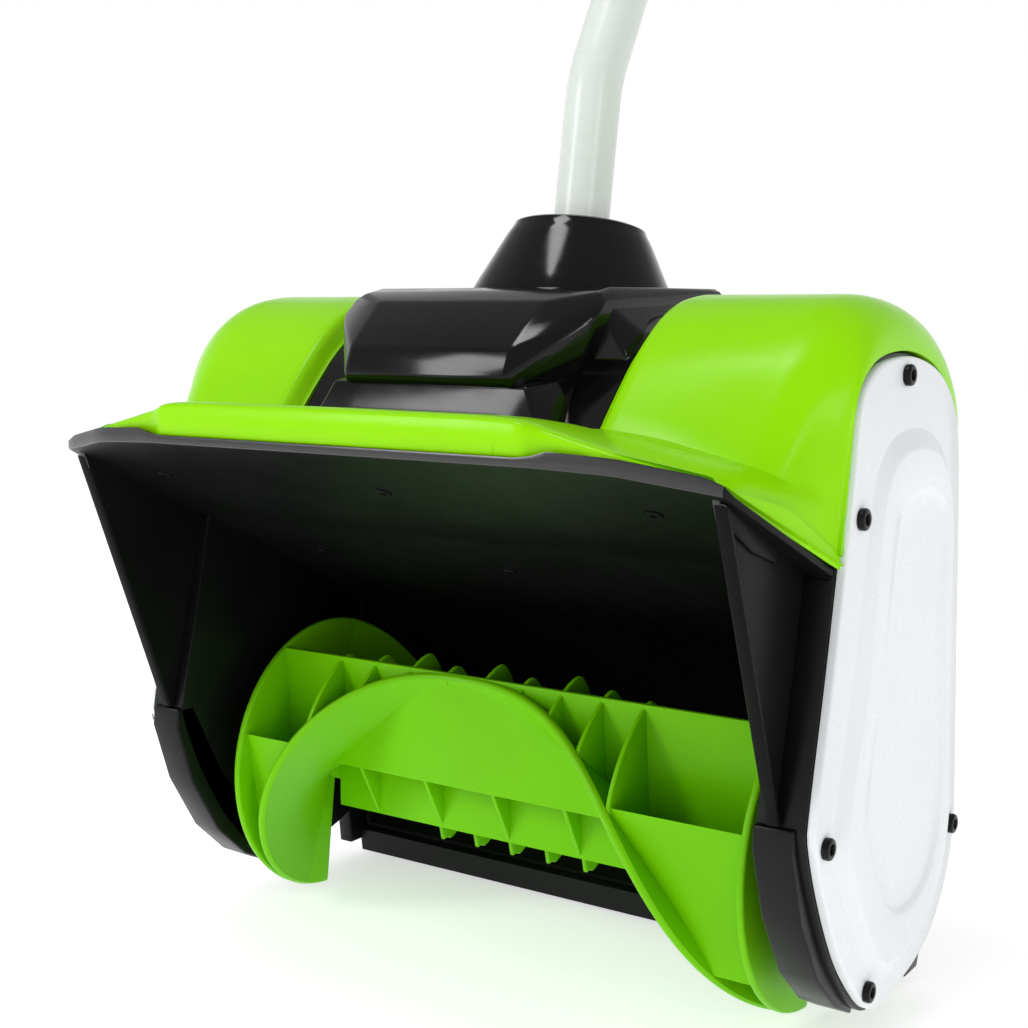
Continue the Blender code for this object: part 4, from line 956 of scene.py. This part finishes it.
def grip_panel(side, sign):
    """Soft black grip moulded over each half, with shallow cross ribs."""
    shape = mm([(-20, 623), (-10, 618), (8, 620), (15.5, 630), (15.8, 670), (16, 715), (12, 727),
                (-8, 730), (-20, 723)])
    meshes = [prism(smooth_outline(shape, 4), *span(sign, 0.015, 0.0177), LEG, 0.0008, 2)]
    for k in range(10):
        s = 0.633 + 0.0088 * k
        rib = [(-0.015, s), (0.011, s + 0.003), (0.011, s + 0.0052), (-0.015, s + 0.0022)]
        meshes.append(prism(rib, *span(sign, 0.017, 0.0183), LEG, 0.0005, 2))
    piece("grip_pad_" + side, join(meshes), RUBBER, "machine", ())


def battery():
    """The pack with its side ribs, collar and top ribs, and its release button."""
    body = block((-0.032, -0.0273, 0.79), (0.032, 0.0433, 0.905), LEG, 0.005, 5)
    body = cut(body, block((-0.013, -0.04, 0.86), (0.013, -0.02, 0.886), LEG))
    meshes = [body]
    for sign in (-1, 1):
        for k in range(4):
            s = 0.856 + 0.0085 * k
            low, high = span(sign, 0.0312, 0.0328)
            meshes.append(block((low, -0.018, s), (high, 0.034, s + 0.004), LEG, 0.0006, 2))
    meshes.append(block((-0.033, -0.0283, 0.846), (0.033, 0.0443, 0.85), LEG, 0.001, 3))
    for k in range(5):
        w = -0.016 + 0.0105 * k
        meshes.append(block((-0.024, w, 0.903), (0.024, w + 0.005, 0.9058), LEG, 0.0008, 2))
    piece("battery_case", join(meshes), BLACK, "battery", ["battery_pack"])
    latch = [block((-0.0125, -0.03, 0.8605), (0.0125, -0.0236, 0.8855), LEG, 0.0014, 3)]
    for k in range(4):
        s = 0.865 + 0.0046 * k
        latch.append(block((-0.009, -0.0306, s), (0.009, -0.029, s + 0.0022), LEG, 0.0006, 2))
    piece("battery_release", join(latch), GREEN, "battery_latch", ["battery_latch"])


def controls():
    """The trigger and the lock-off pin across the handle."""
    blade = mm([(3.2, 657.2), (10, 654.2), (18, 654.5), (23.2, 660), (24.8, 668), (22.6, 680),
                (21.8, 690), (22.8, 700), (20, 715), (15, 724), (3.2, 725.8)])
    piece("trigger_lever", prism(smooth_outline(blade, 4), -0.0069, 0.0069, LEG, 0.0022, 4, 60),
          BLACK, "trigger", ["trigger"])
    button = bar(0.0055, -0.022, 0.022, LOCK, 40, 0.0012)
    piece("lock_off_pin", button, RUBBER, "lock_off_button", ["lock_off_button"])


for side, sign in SIDES:
    handle_half(side, sign)
    grip_panel(side, sign)
battery()
controls()


# ------------------------------ auger
PEAK_X = -0.025                     # where both flights stand highest
RIM_R, HUB_R, PLATE_X = 0.067, 0.013, 0.13


def flight_angle(x, k):
    """Angle of a flight's edge about the axis, 0 forward and 90 up; k is 0 in front, 1 behind."""
    if x < PEAK_X:
        way = (PEAK_X - x) / 0.106
        drop = 91 * way ** 2.35 + 49 * way ** 14
    else:
        drop = 140 * ((x - PEAK_X) / 0.156) ** 2.3
    return radians(60 - drop) if k == 0 else radians(205 - 0.75 * drop)


def flight_reach(y, z, sign):
    """How far along X the front flight has come when it passes the point (y, z) off the axis."""
    goal = atan2(z, -y)
    near, far = 0.0, 0.131
    for _ in range(24):
        middle = (near + far) / 2
        if flight_angle(sign * middle, 0) > goal:
            near = middle
        else:
            far = middle
    return near


def polar(radius, degrees_up):
    """A point about the auger's axis, 0 degrees forward and 90 up."""
    a = radians(degrees_up)
    return -radius * cos(a), radius * sin(a)


def fan(radius, start, end, steps):
    return [polar(radius, start + (end - start) * i / steps) for i in range(steps + 1)]


def auger_flight(turn, k):
    """A flight that runs through both halves, its rim a little thicker than its wall."""
    profile = [(0.0105, -1), (RIM_R - 0.003, -1), (RIM_R - 0.0012, -1.15),
               (RIM_R - 0.0004, -0.7), (RIM_R, 0), (RIM_R - 0.0004, 0.7),
               (RIM_R - 0.0012, 1.15), (RIM_R - 0.003, 1), (0.0105, 1)]
    wall, steps, end = 0.0034, 70, PLATE_X + 0.0005
    rings = []
    for i in range(-steps, steps + 1):
        share = abs(i) / steps
        x = (-1 if i < 0 else 1) * PLATE_X * (1 - (1 - share) ** 1.3)
        a = flight_angle(x, k)
        slope = (flight_angle(x + 0.0005, k) - flight_angle(x - 0.0005, k)) / 0.001
        ring = []
        for r, across_by in profile:
            lead = r * slope
            half = wall / 2 * across_by / sqrt(1 + lead * lead)
            da = -half / r
            ring.append(Vector((max(-end, min(end, x + lead * half)),
                                -r * cos(a + da), r * sin(a + da))))
        rings.append(ring)
    return loft(rings, matrix=turn, angle=50)


def auger_shelf(turn, sign):
    """The chord plate outside a flight, from the floor behind it down to the rim."""
    floor_line = [(-0.0278, 0.0045), (-0.0395, 0.0105), (-0.05, 0.016), (-0.0606, 0.0218)]
    face_line = [(-0.0606 + 0.0106 * t / 14, 0.0218 - 0.0638 * t / 14) for t in range(1, 15)]
    rows = []
    for y, z in floor_line + face_line:
        near = flight_reach(y, z, sign)
        rows.append([Vector((sign * (near + (PLATE_X - near) * t / 3), y, z)) for t in range(4)])
    strip = loft(rows, cyclic=False)
    strip.transform(turn)
    return thicken(strip, 0.0024)


def auger():
    """Hub, end discs, two flights with their plates and shelves, ribs, gussets and lobes."""
    turn = MOVE @ Matrix.Translation((0, 0, AXIS_Z))
    meshes = [bar(HUB_R, -0.1425, 0.1425, turn @ ALONG_X, 40, 0.0008, 0.0063)]
    end = fan(RIM_R - 0.0001, -86, 184, 72) + [polar(HUB_R, 200), polar(HUB_R, -100)]
    for sign in (-1, 1):
        meshes.append(prism(end, *span(sign, PLATE_X - 0.001, PLATE_X + 0.0025), turn, 0.0012, 3))
    for k, top in ((0, 0.0585), (1, 0.03)):
        half_turn = turn @ Matrix.Rotation(k * pi, 4, "X")
        meshes.append(auger_flight(turn, k))
        lean = 0.07 * top
        meshes.append(prism([(-0.0262, 0.0045), (-0.029, 0.0045), (-0.029 - lean, top),
                             (-0.0262 - lean, top)], -PLATE_X - 0.0003, PLATE_X + 0.0003,
                            half_turn, 0.0008, 2))
        meshes.append(prism([(-0.0117, -0.0215), (-0.0146, -0.0215), (-0.0146, 0.004),
                             (-0.0117, 0.004)], -0.112, 0.112, half_turn, 0.0008, 2))
        for sign in (-1, 1):
            meshes.append(auger_shelf(half_turn, sign))

    def web(points, x, round_by=0.0007):
        meshes.append(prism(points, x - 0.0011, x + 0.0011, turn, round_by, 2))

    rib_step = 0.0204
    for i in range(9):
        x = -0.094 + rib_step * i
        low = min(degrees(flight_angle(x, 0)), 58)
        high = 61 if i in (0, 8) else (64 if i % 2 else 70)
        tail = smooth_path([(*polar(radius, high + more), 0) for radius, more in
                            ((0.0655, 0), (0.064, 5), (0.056, 9))], 5)
        web(fan(0.011, 84, low, 3) + fan(0.0655, low, high - 3, 12)
            + [(p.x, p.y) for p in tail], x)
    for i in range(4):
        web(mm([(-11, -11), (-11.8, -21.3), (-14, -21.3), (-28.4, 6.2),
                (-11, 6.2)]), -0.088 + 0.0382 * i)
    for i in range(5):
        web(fan(0.011, 270, 215, 3) + fan(0.0365, 222, 226, 2) + fan(0.0385, 230, 252, 6)
            + fan(0.0365, 256, 260, 2), -0.0648 + rib_step * i)
    whole = join(meshes, 40)
    for side, sign in SIDES:
        piece("auger_scoop_" + side, one_sided(whole, sign, 0.0, 40), GREEN_AUGER, "auger",
              ["auger_half_" + side])


auger()


# ------------------------------ finishes of the other CAD nodes
FINISH = {name: BLACK for name in (
    "rear_panel", "scraper_bar", "pole_socket", "motor_pulley", "auger_pulley", "motor_end_cap",
    "trigger_switch", "terminal_block")}
FINISH.update(drive_belt=RUBBER, control_board=BOARD)
FINISH.update({f"scraper_screw_{i}": DARK_STEEL for i in (1, 2, 3)})
replaced = set()
for obj in bpy.data.objects:
    replaced.update(obj.get("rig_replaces", []))
for name, node in frame["nodes"].items():
    if name in replaced:
        continue
    node.data.materials.clear()
    node.data.materials.append(FINISH.get(name, STEEL))

# ------------------------------ stage, light and camera
bm = bmesh.new()
bmesh.ops.create_circle(bm, cap_ends=True, segments=96, radius=6.0)
floor = new_object("studio_floor", finish_mesh(bm))
floor.location.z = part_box("scraper_bar")[0].z - 0.0022
paper = surface("floor_paper", (0.9, 0.9, 0.9), 0.9, mottle=0.002, grain=60, bump=0.02,
                specular=0.02)
glow = paper.node_tree.nodes["Principled BSDF"]             # a table lit from below
glow.inputs["Emission Color"].default_value = (1, 1, 1, 1)
glow.inputs["Emission Strength"].default_value = 0.57
floor.data.materials.append(paper)

scene = bpy.context.scene
scene.view_settings.view_transform = "Standard"
world = bpy.data.worlds.new("studio")
scene.world = world
world.use_nodes = True
nodes, link = world.node_tree.nodes, world.node_tree.links.new
sky = nodes["Background"]
sky.inputs["Color"].default_value = (1.0, 1.0, 1.0, 1)
way = nodes.new("ShaderNodeTexCoord")       # white all round, dimmer overhead
split = nodes.new("ShaderNodeSeparateXYZ")
level = nodes.new("ShaderNodeMapRange")
for key, v in (("From Min", 0.2), ("From Max", 0.42), ("To Min", 1.0), ("To Max", 0.42)):
    level.inputs[key].default_value = v
link(way.outputs["Generated"], split.inputs["Vector"])
link(split.outputs["Z"], level.inputs["Value"])
link(level.outputs["Result"], sky.inputs["Strength"])


def softbox(name, at, aim, size_x, size_y, watts):
    data = bpy.data.lights.new(name, "AREA")
    data.shape, data.size, data.size_y, data.energy = "RECTANGLE", size_x, size_y, watts
    light = new_object(name, data)
    light.location = at
    light.rotation_euler = (Vector(aim) - Vector(at)).to_track_quat("-Z", "Y").to_euler()


softbox("left_softbox", (-1.2, -1.8, 1.2), (0, -0.05, 0.15), 0.45, 1.0, 16.0)
softbox("right_softbox", (1.9, -0.9, 0.9), (0.1, -0.05, 0.2), 0.3, 1.1, 7.0)
softbox("top_panel", (-0.3, -0.5, 2.0), (0, 0, 0.2), 0.55, 0.35, 8.0)

camera_data = bpy.data.cameras.new("photo_camera")
camera = new_object("photo_camera", camera_data)
camera_data.sensor_fit = "HORIZONTAL"
camera_data.sensor_width = 36
camera_data.lens = 56.04
camera_data.clip_start = 0.01
camera.location = (0.39, -0.6472, 0.2892)
camera.rotation_euler = (radians(82.7), 0, radians(34.5))
scene.camera = camera
